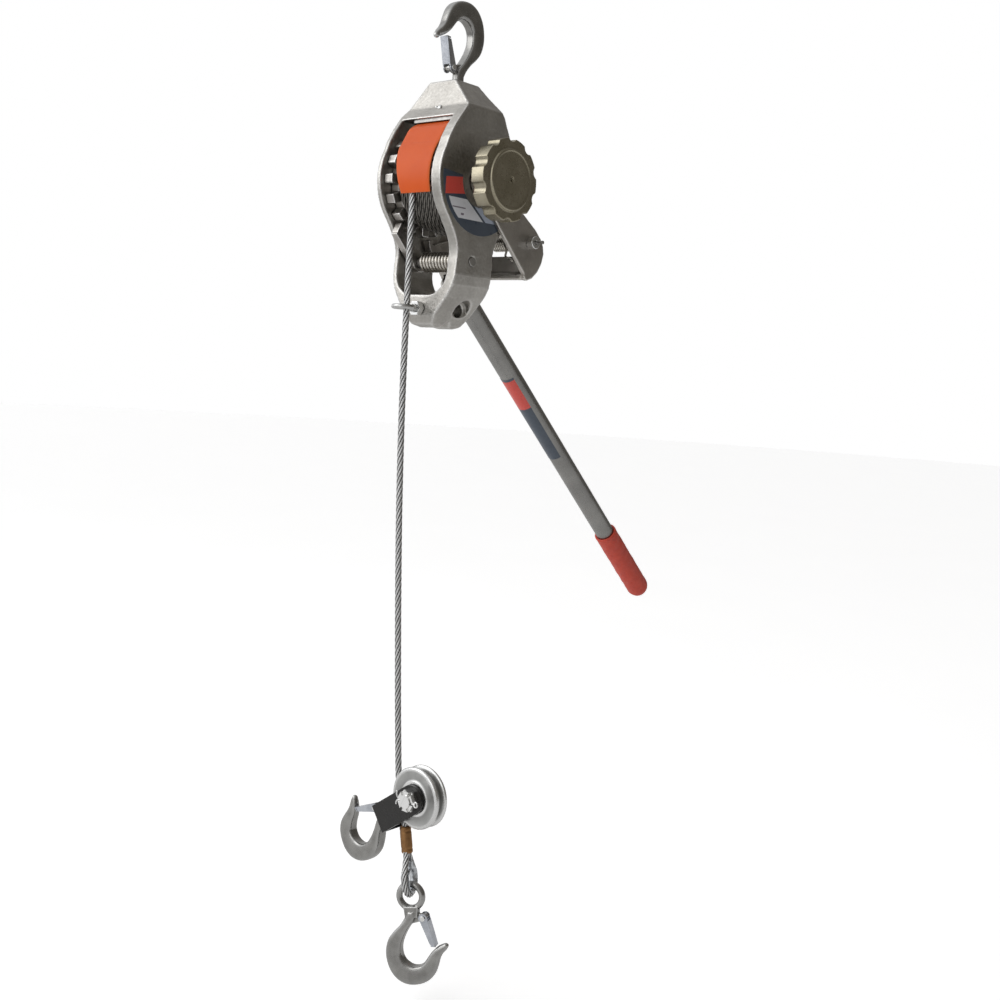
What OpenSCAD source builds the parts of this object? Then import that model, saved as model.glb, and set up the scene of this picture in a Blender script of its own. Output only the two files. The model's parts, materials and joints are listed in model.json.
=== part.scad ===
// Wire rope puller: hand ratchet hoist with a cable drum, a swing handle and a running block.
// The top hook hangs it: the origin is the bearing point inside that hook, +Z up the shank line,
// +X towards the handwheel, -Y towards the rope.  Head parts are drawn about the drum axis.

/* [Frame casting] */
// Distance from the bearing point of the top hook down to the drum axis
drum_drop = 155; // [150:1:165]
// Distance of the top hook line behind the drum axis
hook_back = 6; // [3:0.5:9]
// Half of the width over the two side plates
side_out = 42; // [41:0.5:44]
// Thickness of the side plate beside the ratchet wheel
left_wall = 5; // [4:0.5:6]
// Thickness of the side plate beside the handwheel
right_wall = 12; // [10:0.5:12.5]
// Radius of the round belly of the side plates
belly_r = 54.5; // [52:0.5:56]
// Half of the depth of the waist below the belly
waist_half = 25; // [23:0.5:27]
// Height of the crosshead top above the drum axis
head_top = 95; // [92:1:100]
// Depth of the lowest point of the frame below the drum axis
foot_drop = 139; // [136:1:142]

/* [Drum] */
// Number of teeth on the ratchet wheel
teeth = 16; // [16:1:16]
// Tip radius of the ratchet wheel
tip_r = 50; // [48:0.5:50]
// Root radius of the ratchet wheel
root_r = 40.5; // [38:0.5:41]
// Radius of the drum core under the rope
core_r = 37.6; // [30:0.1:37.6]
// Radius of the axle
axle_r = 8; // [7:0.5:9]
// Outer radius of the fast-winding handwheel
wheel_r = 38; // [36:0.5:40]
// Number of finger lobes round the handwheel
lobes = 10; // [8:1:12]

/* [Rope] */
// Diameter of the wire rope
rope_d = 6.4; // [6:0.1:6.4]
// Radius of the rope line on the full drum
lay_r = 46.5; // [46:0.1:46.5]
// Sideways drift of the hanging rope at its end
drift_x = 37; // [37:1:37]
// Lean of the rope end's fittings, degrees
end_lean = 11; // [11:1:11]

/* [Handle] */
// Outer diameter of the handle tube
tube_d = 22.2; // [20:0.1:24]
// Length of the handle tube from the yoke to its far end
tube_len = 530; // [400:5:600]
// Angle of the handle tube below level
handle_dip = 43; // [40:0.5:46]
// Length of the vinyl grip
grip_len = 130; // [100:5:150]

/* [Block] */
// Outer radius of the sheave
sheave_r = 30; // [28:0.5:32]
// Tilt of the block strap below level
strap_tilt = 36; // [20:1:45]

/* [Hidden] */
$fn = 64;

fit = 0.05;                        // running clearance of pins in their holes
left_in = -side_out + left_wall;   // inner face of the left plate
right_in = side_out - right_wall;  // inner face of the right plate
rope_r = rope_d / 2;
tooth_pitch = 360 / teeth;

// Ratchet wheel and drum along the axle
wheel_x0 = left_in + 1;
wheel_x1 = wheel_x0 + 10.5;
flange_t = 2;
drum_x1 = right_in - 0.5;

// Pins of the two pawls, in the plane across the axle
hold_pin = [-4, -75];
drive_pin = [73, -48];
pawl_x0 = wheel_x0 + 1;
pawl_x1 = wheel_x1 - 1.5;
pin_r = 4.5;
nose_w = 4.4;
bite_r = 44.6;                     // how deep a dropped pawl's nose reaches, from the axle
hold_lift = 10;                    // pawls are drawn lifted clear of the teeth
drive_lift = 7;
hold_gap = -5.5 * tooth_pitch;     // gaps of the wheel that the two pawls drop into
drive_gap = -3.5 * tooth_pitch;

// Curved keeper strip over the front of the drum
guard_x0 = -23;
guard_x1 = 27;
guard_r = 54;
guard_t = 1.4;
guard_end = -16;                   // height of its lower edge
screw_y = -13;                     // its screws, and their spacing from the middle
screw_x = 18;

// Handle yoke outside the side plates
arm_gap = 1;
arm_t = 4.6;
arm_in = side_out + arm_gap;
arm_out = arm_in + arm_t;
tube_x = -31.8;
tube_start = [46, -84];
tube_r = tube_d / 2;
grip_r = 13.8;
rivet_at = [12, 26];               // rivets through yoke socket and tube, from the tube's start
rivet_r = 2.6;

// Rope line
ring_z = -121.5;                     // height of the eyebolt ring
free_top = -127;                   // where the free rope starts
ferrule_top = -622;
ferrule_len = 26;
ferrule_r = 5.6;
end_x = drift_x;
end_y = -lay_r;
eye_z = -690;                      // centre of the end hook's eye
end_turn = 25;                     // turn of the end hook about the rope line

// Teardrop loop of the rope's end about the thimble
bow_z = -674.6;                    // centre of the thimble's round end
bow_r = 8.6;                       // inside radius of the thimble
thimble_t = 1.6;
loop_r = bow_r + thimble_t + rope_r;
loop_top = ferrule_top - ferrule_len;

// The hanging rope: points from the eyebolt to the ferrule, in the drum frame
free_route = [[0, -46.5, -127], [0, -46.5, -150], [0.5, -46.5, -190], [1.4, -46.5, -230],
    [2.8, -46.5, -270], [4.6, -46.5, -310], [6.8, -46.5, -350], [9.4, -46.5, -390], [12.2, -46.5, -430],
    [15.2, -46.5, -470], [18.3, -46.5, -510], [21.4, -46.5, -545], [24.7, -46.5, -578],
    [28.8, -46.5, -596], [33.4, -46.5, -610], [37, -46.5, -622], [41.9, -46.5, -647]];

// Block: the sheave rides beside the rope line just above the ferrule
groove_r = 22;
block_x = 54.4;
block_z = ferrule_top + 34;
sheave_half = 8.5;
strap_t = 3;
strap_in = sheave_half + 0.8;
strap_web = 52;                    // from the sheave axis to the inside of the strap's web

// Hooks
hook_t = 12.6;
latch_pivot = [12, 46.5];
latch_pin_r = 1.75;
ear_half = 2;                      // half thickness of the ear that holds the latch pin
shank_r = 5.5;

function arc(c, r, a0, a1, n) = [for (i = [0:n]) let (a = a0 + (a1 - a0) * i / n)
    c + r * [cos(a), sin(a)]];
function spline_at(a, b, c, d, t) = 0.5 * (2 * b + (c - a) * t + (2 * a - 5 * b + 4 * c - d) * t * t
    + (3 * b - a - 3 * c + d) * t * t * t);
// Smooth closed outline through a few points
function smooth(p, n) = [for (i = [0:len(p) - 1], k = [0:n - 1])
    spline_at(p[(i + len(p) - 1) % len(p)], p[i], p[(i + 1) % len(p)], p[(i + 2) % len(p)], k / n)];
// Smooth open route through a few points
function route(p, n) = concat([for (i = [0:len(p) - 2], k = [0:n - 1])
    spline_at(p[max(i - 1, 0)], p[i], p[i + 1], p[min(i + 2, len(p) - 1)], k / n)], [p[len(p) - 1]]);
function unit(v) = v / norm(v);
function tangent(p, i) = unit(p[min(i + 1, len(p) - 1)] - p[max(i - 1, 0)]);

module at_drum() {
    translate([0, -hook_back, -drum_drop]) children();
}

// A 2D outline drawn as [y, z] becomes a plate from x0 to x1
module plate_x(x0, x1) {
    translate([x0, 0, 0]) rotate([90, 0, 90]) linear_extrude(x1 - x0) children();
}

module rod_x(r, x0, x1, y, z) {
    translate([x0, y, z]) rotate([0, 90, 0]) cylinder(r = r, h = x1 - x0);
}

// Round tube swept along a route: one closed skin of 8-sided rings
module rope_tube(p, r) {
    n = 8;
    side = [0, 1, 0];
    rings = [for (i = [0:len(p) - 1]) let (t = tangent(p, i), a = unit(cross(side, t)), b = cross(t, a))
        for (k = [0:n - 1]) p[i] + r * (cos(360 * k / n) * a + sin(360 * k / n) * b)];
    last = (len(p) - 1) * n;
    polyhedron(points = rings, faces = concat(
        [[for (k = [0:n - 1]) k]],
        [for (i = [0:len(p) - 2], k = [0:n - 1])
            [i * n + k, (i + 1) * n + k, (i + 1) * n + (k + 1) % n, i * n + (k + 1) % n]],
        [[for (k = [n - 1:-1:0]) last + k]]));
}

// Wire coil about X drawn as one ridged sleeve
module coil_x(r, wire, turns, x0) {
    pitch = wire * 0.95;
    translate([x0 + wire / 2, 0, 0]) rotate([0, 90, 0]) rotate_extrude() union() {
        for (i = [0:turns - 1]) translate([r, i * pitch]) circle(r = wire / 2, $fn = 24);
        translate([r - wire * 0.3, 0]) square([wire * 0.6, (turns - 1) * pitch]);
    }
}

// ---------------------------------------------------------------- load hooks
// Hook outline: [0, 0] is the bearing point in the bowl, +y up to the shank, the tip towards +x
module hook_outline() intersection() {
    translate([-60, -60]) square([120, 112]);
    polygon(smooth([[-5.5, 52], [-9, 43], [-19, 34], [-26.5, 25], [-29.3, 14], [-28, 2], [-22, -10],
        [-13, -16.5], [-3, -18], [8, -16], [17, -10], [22, -1], [25.5, 8], [29.5, 13], [34, 17],
        [33.5, 21.5], [29.5, 21.5], [22, 17.5], [15, 11], [10, 4.5], [5.5, 1], [0, 0], [-7, 2],
        [-12, 8], [-13.5, 15], [-12, 23], [-8, 30], [-3.5, 37], [0.5, 42], [3.5, 46], [5.5, 52]], 3));
}

module hook_body() {
    translate([0, 0, -hook_t / 2]) linear_extrude(hook_t) hook_outline();
}

// Ear for the latch pin, thinner than the hook
module latch_ear() {
    difference() {
        translate([0, 0, -ear_half]) linear_extrude(2 * ear_half) union() {
            translate(latch_pivot) circle(r = 3.4);
            polygon([[0, 40.8], [11, 43.3], [11, 49.7], [0, 52]]);
        }
        translate([latch_pivot[0], latch_pivot[1], -10]) cylinder(r = latch_pin_r, h = 20);
    }
}

module latch() {
    difference() {
        union() {
            for (side = [-1, 1]) translate([0, 0, side * 4.4 - 0.6]) linear_extrude(1.2) union() {
                translate(latch_pivot) circle(r = 4.4);
                polygon([[16.4, 46.5], [21.6, 21.4], [17.4, 21.4], [9.4, 42.6], [12, 50.9]]);
            }
            translate([0, 0, -5]) linear_extrude(10)
                polygon([[15.9, 44], [17.1, 44], [22.6, 19.2], [18, 19.6], [18, 20.8], [21, 20.6]]);
        }
        translate([latch_pivot[0], latch_pivot[1], -10]) cylinder(r = latch_pin_r + fit, h = 20);
    }
}

module latch_pin() {
    translate([latch_pivot[0], latch_pivot[1], 0]) union() {
        translate([0, 0, -5.6]) cylinder(r = latch_pin_r, h = 11.2);
        for (end = [5.1, -6.3]) translate([0, 0, end]) cylinder(r = 2.6, h = 1.2);
    }
}

// Torsion spring of the latch: a wrap of wire round the pin on each side of the ear
module latch_spring() {
    for (side = [0, 1]) mirror([0, 0, side]) translate(concat(latch_pivot, ear_half)) difference() {
        union() {
            cylinder(r = latch_pin_r + 1.2, h = 1.5);
            translate([latch_pin_r + 0.1, -2.5, 0]) cube([1, 2.5, 1]);
        }
        translate([0, 0, -1]) cylinder(r = latch_pin_r, h = 4);
    }
}

// ---------------------------------------------------------------- top hook
module place_top_hook() {
    rotate([0, 0, -90]) rotate([-90, 0, 0]) children();
}

module top_hook() {
    color("dimgray") union() {
        place_top_hook() union() {
            hook_body();
            latch_ear();
        }
        translate([0, 0, -84]) cylinder(r = shank_r, h = 34);
    }
}

module hook_nut() {
    color("silver") translate([0, 0, -84]) difference() {
        cylinder(d = 19 / cos(30), h = 9, $fn = 6);
        translate([0, 0, -1]) cylinder(r = shank_r, h = 11);
    }
}

module thrust_washer() {
    color("silver") translate([0, 0, -75]) difference() {
        cylinder(r = 12, h = 2);
        translate([0, 0, -1]) cylinder(r = shank_r + fit, h = 4);
    }
}

module top_latch() {
    color("lightsteelblue") place_top_hook() latch();
}

module top_latch_pin() {
    color("silver") place_top_hook() latch_pin();
}

module top_latch_spring() {
    color("silver") place_top_hook() latch_spring();
}

// ---------------------------------------------------------------- frame casting
// Side view of the casting: round belly, sloping shoulders and a straight waist
module side_outline() {
    union() {
        circle(r = belly_r, $fn = 96);
        polygon(concat([[-14, head_top], [-21, 69], [-30, 57.5], [-38, 46.5], [-44.5, 35]],
            arc([0, 0], belly_r - 0.2, 152, 27, 12),
            [[45, 35], [39.5, 48.5], [33, 61], [27, 72], [22, 83], [19, head_top]]));
        polygon(concat(arc([0, 0], belly_r - 0.2, 208, 332, 12),
            arc([waist_half + 36, -70], 36, 142, 180, 5),
            [[waist_half, -104], [waist_half - 4, -126], [waist_half - 10, -foot_drop + 2],
            [waist_half - 17, -foot_drop], [1, -foot_drop + 1], [-5, -foot_drop + 8],
            [-10, -foot_drop + 2], [-17, -foot_drop], [-26, -foot_drop + 3],
            [-30, -foot_drop + 12], [-28, -104]],
            arc([-waist_half - 36, -70], 36, 0, 38, 5)));
    }
}

// Front view of the casting: sloping crosshead, straight sides and a foot that draws in
module front_outline() {
    polygon([[-18, head_top], [16, head_top], [41, 69.5], [side_out, 66], [side_out, -88],
        [side_out - 2, -98], [side_out - 8, -109], [side_out - 18, -122], [14, -foot_drop + 3],
        [8, -foot_drop - 1], [-8, -foot_drop - 1], [-14, -foot_drop + 3], [-side_out + 18, -122],
        [-side_out + 8, -109], [-side_out + 2, -98], [-side_out, -88], [-side_out, 62], [-39, 67]]);
}

// Front view of the open window between the plates
module window_outline() {
    polygon(concat([[left_in, 58], [right_in, 58], [right_in, -82]],
        arc([right_in - 22, -86], 22, 0, -90, 8), arc([left_in + 22, -86], 22, -90, -180, 8)));
}

module frame() {
    color("gainsboro") at_drum() difference() {
        intersection() {
            plate_x(-side_out, side_out) side_outline();
            translate([0, 60, 0]) rotate([90, 0, 0]) linear_extrude(120) front_outline();
        }
        translate([0, 80, 0]) rotate([90, 0, 0]) linear_extrude(160) window_outline();
        // axle bushes
        rod_x(11.5, -side_out - 1, left_in + 1, 0, 0);
        rod_x(11.5, right_in - 1, side_out + 1, 0, 0);
        // holding pawl pin
        rod_x(pin_r, -side_out - 1, side_out + 1, hold_pin[0], hold_pin[1]);
        // hook shank bore and the nut pocket under the crosshead
        translate([0, hook_back, 50]) cylinder(r = shank_r + fit, h = 60);
        translate([0, hook_back, 50]) cylinder(r = 14, h = drum_drop - 73 - 50);
        // slanted recess on each side of the foot
        for (side = [-1, 1]) translate([side * 42, 4, -112]) rotate([0, side * 38, 0]) rotate([0, 90, 0])
            linear_extrude(14, center = true) union() {
                translate([-16, 0]) circle(r = 6);
                translate([-16, -6]) square([32, 12]);
                translate([16, 0]) circle(r = 6);
            }
        // anchor hole for the end hook when the rope runs double, with a flat seat at each end
        rod_x(6.5, -60, 60, 4, -121);
        for (side = [-1, 1]) translate([side * 40, 0, 0]) rod_x(10, -20, 20, 4, -121);
        // eyebolt hole in the foot
        translate([0, -20, ring_z]) rotate([90, 0, 0]) cylinder(r = 4, h = 30);
        // bracket screw holes under the crosshead
        for (x = [-screw_x, screw_x]) translate([x, screw_y, 50]) cylinder(r = 2, h = 20);
    }
}

module bush_left() {
    color("goldenrod") at_drum() difference() {
        rod_x(11.5, -side_out, left_in, 0, 0);
        rod_x(axle_r + fit, -side_out - 1, left_in + 1, 0, 0);
    }
}

module bush_right() {
    color("goldenrod") at_drum() difference() {
        rod_x(11.5, right_in, side_out, 0, 0);
        rod_x(axle_r + fit, right_in - 1, side_out + 1, 0, 0);
    }
}

// Side view of the keeper strip
module guard_side() {
    bend = 144;                    // polar angle where the flat top flap begins
    along = [cos(bend + 1.5), sin(bend + 1.5)];
    inner = (guard_r - guard_t + 0.15) * along;
    outer = (guard_r - 0.15) * along;
    union() {
        difference() {
            circle(r = guard_r, $fn = 96);
            circle(r = guard_r - guard_t, $fn = 96);
            translate([-20, -80]) square([100, 160]);
            translate([-80, guard_end - 80]) square([100, 80]);
            polygon([[-80, 100], [-80, -80 * tan(bend)], [0, 0], [0, 100]]);
        }
        polygon([inner, [-24.4, 54.8 - guard_t], [-5, 54.8 - guard_t], [-5, 54.8], [-25, 54.8], outer]);
    }
}

module rope_guard() {
    color("orangered") at_drum() difference() {
        intersection() {
            plate_x(guard_x0, guard_x1) guard_side();
            translate([0, 10, 0]) rotate([90, 0, 0]) linear_extrude(80)
                polygon([[guard_x0, 60], [guard_x0, 30], [guard_x0 + 13.5, guard_end - 5],
                    [guard_x1, guard_end - 5], [guard_x1, 60]]);
        }
        for (x = [-screw_x, screw_x]) translate([x, screw_y, 50]) cylinder(r = 2, h = 20);
    }
}

module guard_bracket() {
    color("gray") at_drum() difference() {
        plate_x(guard_x0 - 1, guard_x1 + 1) translate([-26, 54.8]) square([21, 3.2]);
        for (x = [-screw_x, screw_x]) translate([x, screw_y, 50]) cylinder(r = 2, h = 20);
    }
}

module guard_screws() {
    color("silver") at_drum() for (x = [-screw_x, screw_x]) difference() {
        translate([x, screw_y, 0]) union() {
            translate([0, 0, 51.2]) cylinder(r = 3.6, h = 2);
            translate([0, 0, 53.1]) cylinder(r = 2, h = 15);
        }
        translate([x - 0.5, -20, 51]) cube([1, 14, 0.9]);
    }
}

module eyebolt() {
    color("silver") at_drum() union() {
        translate([0, -50.2, ring_z]) rotate_extrude() translate([9.6, 0]) circle(r = 2.4, $fn = 32);
        translate([0, -21, ring_z]) rotate([90, 0, 0]) cylinder(r = 4, h = 20);
    }
}

module eyebolt_nut() {
    color("gray") at_drum() translate([0, -30.6, ring_z]) rotate([90, 0, 0]) difference() {
        cylinder(d = 13 / cos(30), h = 6, $fn = 6);
        translate([0, 0, -1]) cylinder(r = 4, h = 8);
    }
}

// Decal on the handwheel side
module side_label() {
    color("slategray") at_drum() difference() {
        plate_x(side_out, side_out + 0.4) intersection() {
            circle(r = belly_r - 3, $fn = 96);
            polygon([[-60, 6], [-10, 2], [22, -24], [34, -32], [20, -60], [-60, -60]]);
            translate([2, 2]) circle(r = 52, $fn = 96);
        }
        rod_x(24, side_out - 1, side_out + 2, 0, 0);
    }
}

// ---------------------------------------------------------------- drum and drive
module drum_shaft() {
    color("silver") at_drum() union() {
        rod_x(axle_r, -arm_out - 6, 70, 0, 0);
        rod_x(13, -arm_out - 9, -arm_out - 0.6, 0, 0);
    }
}

module shaft_ring() {
    color("gray") at_drum() difference() {
        rod_x(13, arm_out + 0.6, arm_out + 3.6, 0, 0);
        rod_x(axle_r, arm_out, arm_out + 5, 0, 0);
    }
}

module drum() {
    color("darkgray") at_drum() difference() {
        union() {
            rod_x(core_r, wheel_x1, drum_x1 - flange_t, 0, 0);
            rod_x(48.5, drum_x1 - flange_t, drum_x1, 0, 0);
        }
        rod_x(axle_r, wheel_x1 - 1, drum_x1 + 1, 0, 0);
    }
}

module tooth_outline() {
    polygon([[root_r - 2, -4.9], [tip_r - 1, -4.6], [tip_r - 0.2, -3.8], [tip_r - 0.2, 3.8],
        [tip_r - 1, 4.6], [root_r - 2, 4.9]]);
}

module ratchet_wheel() {
    color("silver") at_drum() difference() {
        plate_x(wheel_x0, wheel_x1) union() {
            circle(r = root_r);
            for (i = [0:teeth - 1]) rotate(i * tooth_pitch) tooth_outline();
        }
        rod_x(axle_r, wheel_x0 - 1, wheel_x1 + 1, 0, 0);
        for (i = [0:3]) rotate([45 + 90 * i, 0, 0]) rod_x(3, wheel_x0 - 1, wheel_x1 + 1, 0, 26);
    }
}

module ratchet_rivets() {
    color("gray") at_drum() for (i = [0:3]) rotate([45 + 90 * i, 0, 0]) union() {
        rod_x(3, wheel_x0, wheel_x1, 0, 26);
        rod_x(4.6, wheel_x0 - 0.8, wheel_x0, 0, 26);
    }
}

// Handwheel with finger lobes and a raised disc on its face
module handwheel() {
    color("darkkhaki") at_drum() difference() {
        union() {
            plate_x(65, 80.3) difference() {
                circle(r = wheel_r, $fn = 96);
                for (i = [0:lobes - 1]) rotate(360 * (i + 0.5) / lobes)
                    translate([wheel_r + 3.4, 0]) circle(r = 6.4, $fn = 24);
            }
            rod_x(27.5, 80, 82, 0, 0);
            rod_x(15, arm_out + 4, 66, 0, 0);
        }
        rod_x(axle_r, arm_out + 3, 70, 0, 0);
        rod_x(3, 69, 90, 0, 0);
    }
}

module handwheel_screw() {
    color("olive") at_drum() difference() {
        rod_x(3, 70, 81.6, 0, 0);
        rod_x(1.8, 79.6, 82, 0, 0);
    }
}

// Wound rope: a full lower lay and half of an upper lay
module rope_on_drum() {
    mid = 3;
    x0 = wheel_x1 + 0.4;
    x1 = drum_x1 - flange_t - 0.4;
    color("darkgray") at_drum() translate([x0, 0, 0]) rotate([0, 90, 0]) rotate_extrude($fn = 96)
        polygon([[core_r, 0], [lay_r - 2.3, 0], [lay_r - 2.3, mid - x0], [lay_r + rope_r, mid - x0],
            [lay_r + rope_r, x1 - x0], [core_r, x1 - x0]]);
}

// ---------------------------------------------------------------- pawls
// Pawl outline about its pin, turned back by lift from where its nose fills the gap
module pawl_outline(pin, gap, lift) {
    shoulder = (tip_r + 3.4) * [cos(gap), sin(gap)];
    u = (shoulder - pin) / norm(shoulder - pin);
    v = [-u[1], u[0]];
    translate(pin) rotate(lift) translate(-pin) union() {
        translate(pin) circle(r = 9.5);
        difference() {
            polygon([pin + 8 * v, shoulder + 4 * v + 2 * u, shoulder - 4 * v + 2 * u, pin - 8 * v]);
            circle(r = tip_r + 0.6, $fn = 120);
        }
        rotate(gap) polygon([[bite_r, -nose_w / 2], [tip_r + 4, -nose_w / 2 - 0.6],
            [tip_r + 4, nose_w / 2 + 0.6], [bite_r, nose_w / 2]]);
    }
}

module holding_pawl() {
    color("gray") at_drum() difference() {
        plate_x(pawl_x0, pawl_x1) pawl_outline(hold_pin, hold_gap, hold_lift);
        rod_x(pin_r + fit, pawl_x0 - 1, pawl_x1 + 1, hold_pin[0], hold_pin[1]);
    }
}

module holding_pawl_pin() {
    color("dimgray") at_drum() rod_x(pin_r, -side_out - 1.4, side_out + 1, hold_pin[0], hold_pin[1]);
}

module holding_pawl_spring() {
    color("silver") at_drum() translate([0, hold_pin[0], hold_pin[1]]) union() {
        coil_x(8, 3.4, 12, -22);
        translate([-21.9, -9.6, 0]) cube([3, 3, 14]);
    }
}

module pawl_spacer() {
    color("gray") at_drum() difference() {
        rod_x(5.6, pawl_x1 + 0.4, right_in - 0.1, hold_pin[0], hold_pin[1]);
        rod_x(pin_r, pawl_x1, right_in + 1, hold_pin[0], hold_pin[1]);
    }
}

// ---------------------------------------------------------------- handle
// Arm of the yoke in side view, from the axle to the rounded heel
// Side view of the arm beside the handwheel
module arm_outline() {
    union() {
        circle(r = 14.5);
        polygon([[0, -14.5], [67, -79], [68, -84], [72, -85.5], [80, -82.5], [88, -75.5], [93.5, -66.5],
            [96, -57], [94.5, -49.5], [90, -42.5], [81, -34.5], [9, 11.4]]);
    }
}

// Side view of the arm that carries the tube, which reaches lower
module tube_arm_outline() {
    union() {
        arm_outline();
        polygon([[-9, -11.4], [42, -78], [49, -87], [60, -87], [69, -85], [70, -60], [20, -10]]);
    }
}

// Side view of the bridge across the two arms, and of the wall along the tube's socket
module bridge_outline() {
    polygon([[66.9, -84.5], [72, -85], [75, -80], [74.5, -62], [70.5, -61], [69.8, -78], [66.9, -79]]);
}

module socket_wall_outline() {
    polygon([[33.5, -68], [42, -78], [49, -87], [60, -87], [72, -84], [70, -79], [59, -82.5],
        [51.5, -82.5], [45.5, -75], [37, -65]]);
}

module handle_yoke() {
    color("rosybrown") at_drum() difference() {
        union() {
            plate_x(arm_in, arm_out) arm_outline();
            plate_x(-arm_out, -arm_in) tube_arm_outline();
            plate_x(-arm_in, arm_in) bridge_outline();
            plate_x(-arm_in, -16) socket_wall_outline();
            tube_axis() translate([0, 0, 2]) cylinder(r = tube_r + 2.4, h = 34);
        }
        rod_x(axle_r + fit, -arm_out - 1, arm_out + 1, 0, 0);
        rod_x(pin_r, -arm_out - 1, arm_out + 1, drive_pin[0], drive_pin[1]);
        tube_axis() translate([0, 0, -2]) cylinder(r = tube_r, h = 60);
        for (s = rivet_at) tube_axis() rivet_hole(s);
    }
}

// Along the handle tube: +Z runs from the yoke to the grip
module tube_axis() {
    translate([tube_x, tube_start[0], tube_start[1]]) rotate([-90 - handle_dip, 0, 0]) children();
}

module rivet_hole(s) {
    translate([-30, 0, s]) rotate([0, 90, 0]) cylinder(r = rivet_r, h = 60);
}

module handle_tube() {
    color("gray") at_drum() difference() {
        tube_axis() cylinder(r = tube_r, h = tube_len);
        tube_axis() translate([0, 0, -1]) cylinder(r = tube_r - 1.7, h = tube_len + 2);
        for (s = rivet_at) tube_axis() rivet_hole(s);
    }
}

module handle_rivets() {
    color("silver") at_drum() tube_axis() for (s = rivet_at)
        translate([0, 0, s]) rotate([0, 90, 0]) union() {
            translate([0, 0, -tube_r - 2.4]) cylinder(r = rivet_r, h = tube_d + 4.8);
            for (side = [-1, 1]) translate([0, 0, side * (tube_r + 3.4) - 1]) cylinder(r = 4.5, h = 2);
        }
}

module handle_grip() {
    color("crimson") at_drum() tube_axis() difference() {
        union() {
            translate([0, 0, tube_len - grip_len + 12]) cylinder(r = grip_r, h = grip_len - 22);
            translate([0, 0, tube_len - 10]) sphere(r = grip_r);
        }
        translate([0, 0, tube_len - grip_len]) cylinder(r = tube_r, h = grip_len);
    }
}

module handle_label() {
    color("slategray") at_drum() tube_axis() difference() {
        translate([0, 0, 138]) cylinder(r = tube_r + 0.25, h = 128);
        translate([0, 0, 130]) cylinder(r = tube_r, h = 144);
        translate([-30, -54, 130]) cube([60, 60, 144]);
    }
}

module drive_pawl() {
    color("gray") at_drum() difference() {
        plate_x(pawl_x0, pawl_x1) pawl_outline(drive_pin, drive_gap, drive_lift);
        rod_x(pin_r + fit, pawl_x0 - 1, pawl_x1 + 1, drive_pin[0], drive_pin[1]);
    }
}

module drive_pawl_pin() {
    color("dimgray") at_drum() union() {
        rod_x(pin_r, -arm_out - 1.5, arm_out + 2, drive_pin[0], drive_pin[1]);
        rod_x(1.8, arm_out + 2, arm_out + 17, drive_pin[0], drive_pin[1]);
    }
}

module drive_pawl_nut() {
    color("silver") at_drum() difference() {
        rod_x(6.2, arm_out, arm_out + 8, drive_pin[0], drive_pin[1]);
        rod_x(pin_r, arm_out - 1, arm_out + 2, drive_pin[0], drive_pin[1]);
        rod_x(1.8, arm_out + 1, arm_out + 9, drive_pin[0], drive_pin[1]);
    }
}

module drive_pawl_spring() {
    color("silver") at_drum() translate([0, drive_pin[0], drive_pin[1]]) union() {
        coil_x(7.4, 2.4, 6, 18);
        translate([28.2, -8.6, -27]) cube([2.2, 2.2, 27]);
    }
}

module drive_pawl_spacer() {
    color("gray") at_drum() difference() {
        rod_x(5.8, pawl_x1 + 0.4, arm_in - 0.1, drive_pin[0], drive_pin[1]);
        rod_x(pin_r, pawl_x1, arm_in + 1, drive_pin[0], drive_pin[1]);
    }
}

// ---------------------------------------------------------------- rope and its end
module rope_upper() {
    leave_z = -26;                 // where the rope comes clear of the windings
    color("silver") at_drum() translate([0, -lay_r, free_top]) cylinder(r = rope_r, h = leave_z - free_top);
}

module rope_free() {
    color("silver") at_drum() rope_tube(route(free_route, 3), rope_r);
}

module at_end() {
    at_drum() translate([end_x, end_y, ferrule_top]) rotate([0, -end_lean, 0])
        translate([0, 0, -ferrule_top]) children();
}

module ferrule() {
    color("peru") at_end() translate([0, 0, ferrule_top - ferrule_len]) difference() {
        union() {
            translate([0, 0, 1]) cylinder(r = ferrule_r, h = ferrule_len - 2);
            cylinder(r = ferrule_r - 0.8, h = ferrule_len);
        }
        translate([0, 0, -1]) cylinder(r = rope_r + 0.3, h = ferrule_len + 2);
    }
}

// The loop lies in the plane across the end hook
function loop_points() = concat([[-3.3, loop_top], [-3.3, loop_top - 2]],
    [[-4.4, loop_top - 6], [-loop_r + 1, bow_z + 7]], arc([0, bow_z], loop_r, 180, 360, 12),
    [[loop_r - 1, bow_z + 7], [4.4, loop_top - 6]], [[3.3, loop_top - 2], [3.3, loop_top]]);

module rope_eye() {
    color("silver") at_end() rotate([0, 0, end_turn + 90])
        rope_tube([for (p = loop_points()) [p[0], 0, p[1]]], rope_r - 0.1);
}

module thimble_side() {
    polygon(concat(arc([0, bow_z], bow_r + thimble_t, 175, 365, 16),
        [[1.5, loop_top - 9], [-1.5, loop_top - 9]]));
}

module thimble() {
    color("lightgray") at_end() rotate([0, 0, end_turn + 90]) rotate([90, 0, 0]) translate([0, 0, -3.2])
        linear_extrude(6.4) difference() {
            thimble_side();
            polygon(concat(arc([0, bow_z], bow_r, 176, 364, 16), [[0, loop_top - 14]]));
        }
}

module place_end_hook() {
    at_end() translate([0, 0, eye_z - 67]) rotate([0, 0, end_turn]) rotate([90, 0, 0]) children();
}

module end_hook() {
    color("dimgray") place_end_hook() union() {
        hook_body();
        latch_ear();
        translate([0, 0, -3.6]) linear_extrude(7.2) difference() {
            union() {
                translate([0, 67]) circle(r = 14.9);
                translate([-5.5, 50]) square([11, 10]);
            }
            translate([0, 67]) circle(r = 8.5);
        }
    }
}

module end_latch() {
    color("lightsteelblue") place_end_hook() latch();
}

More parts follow.
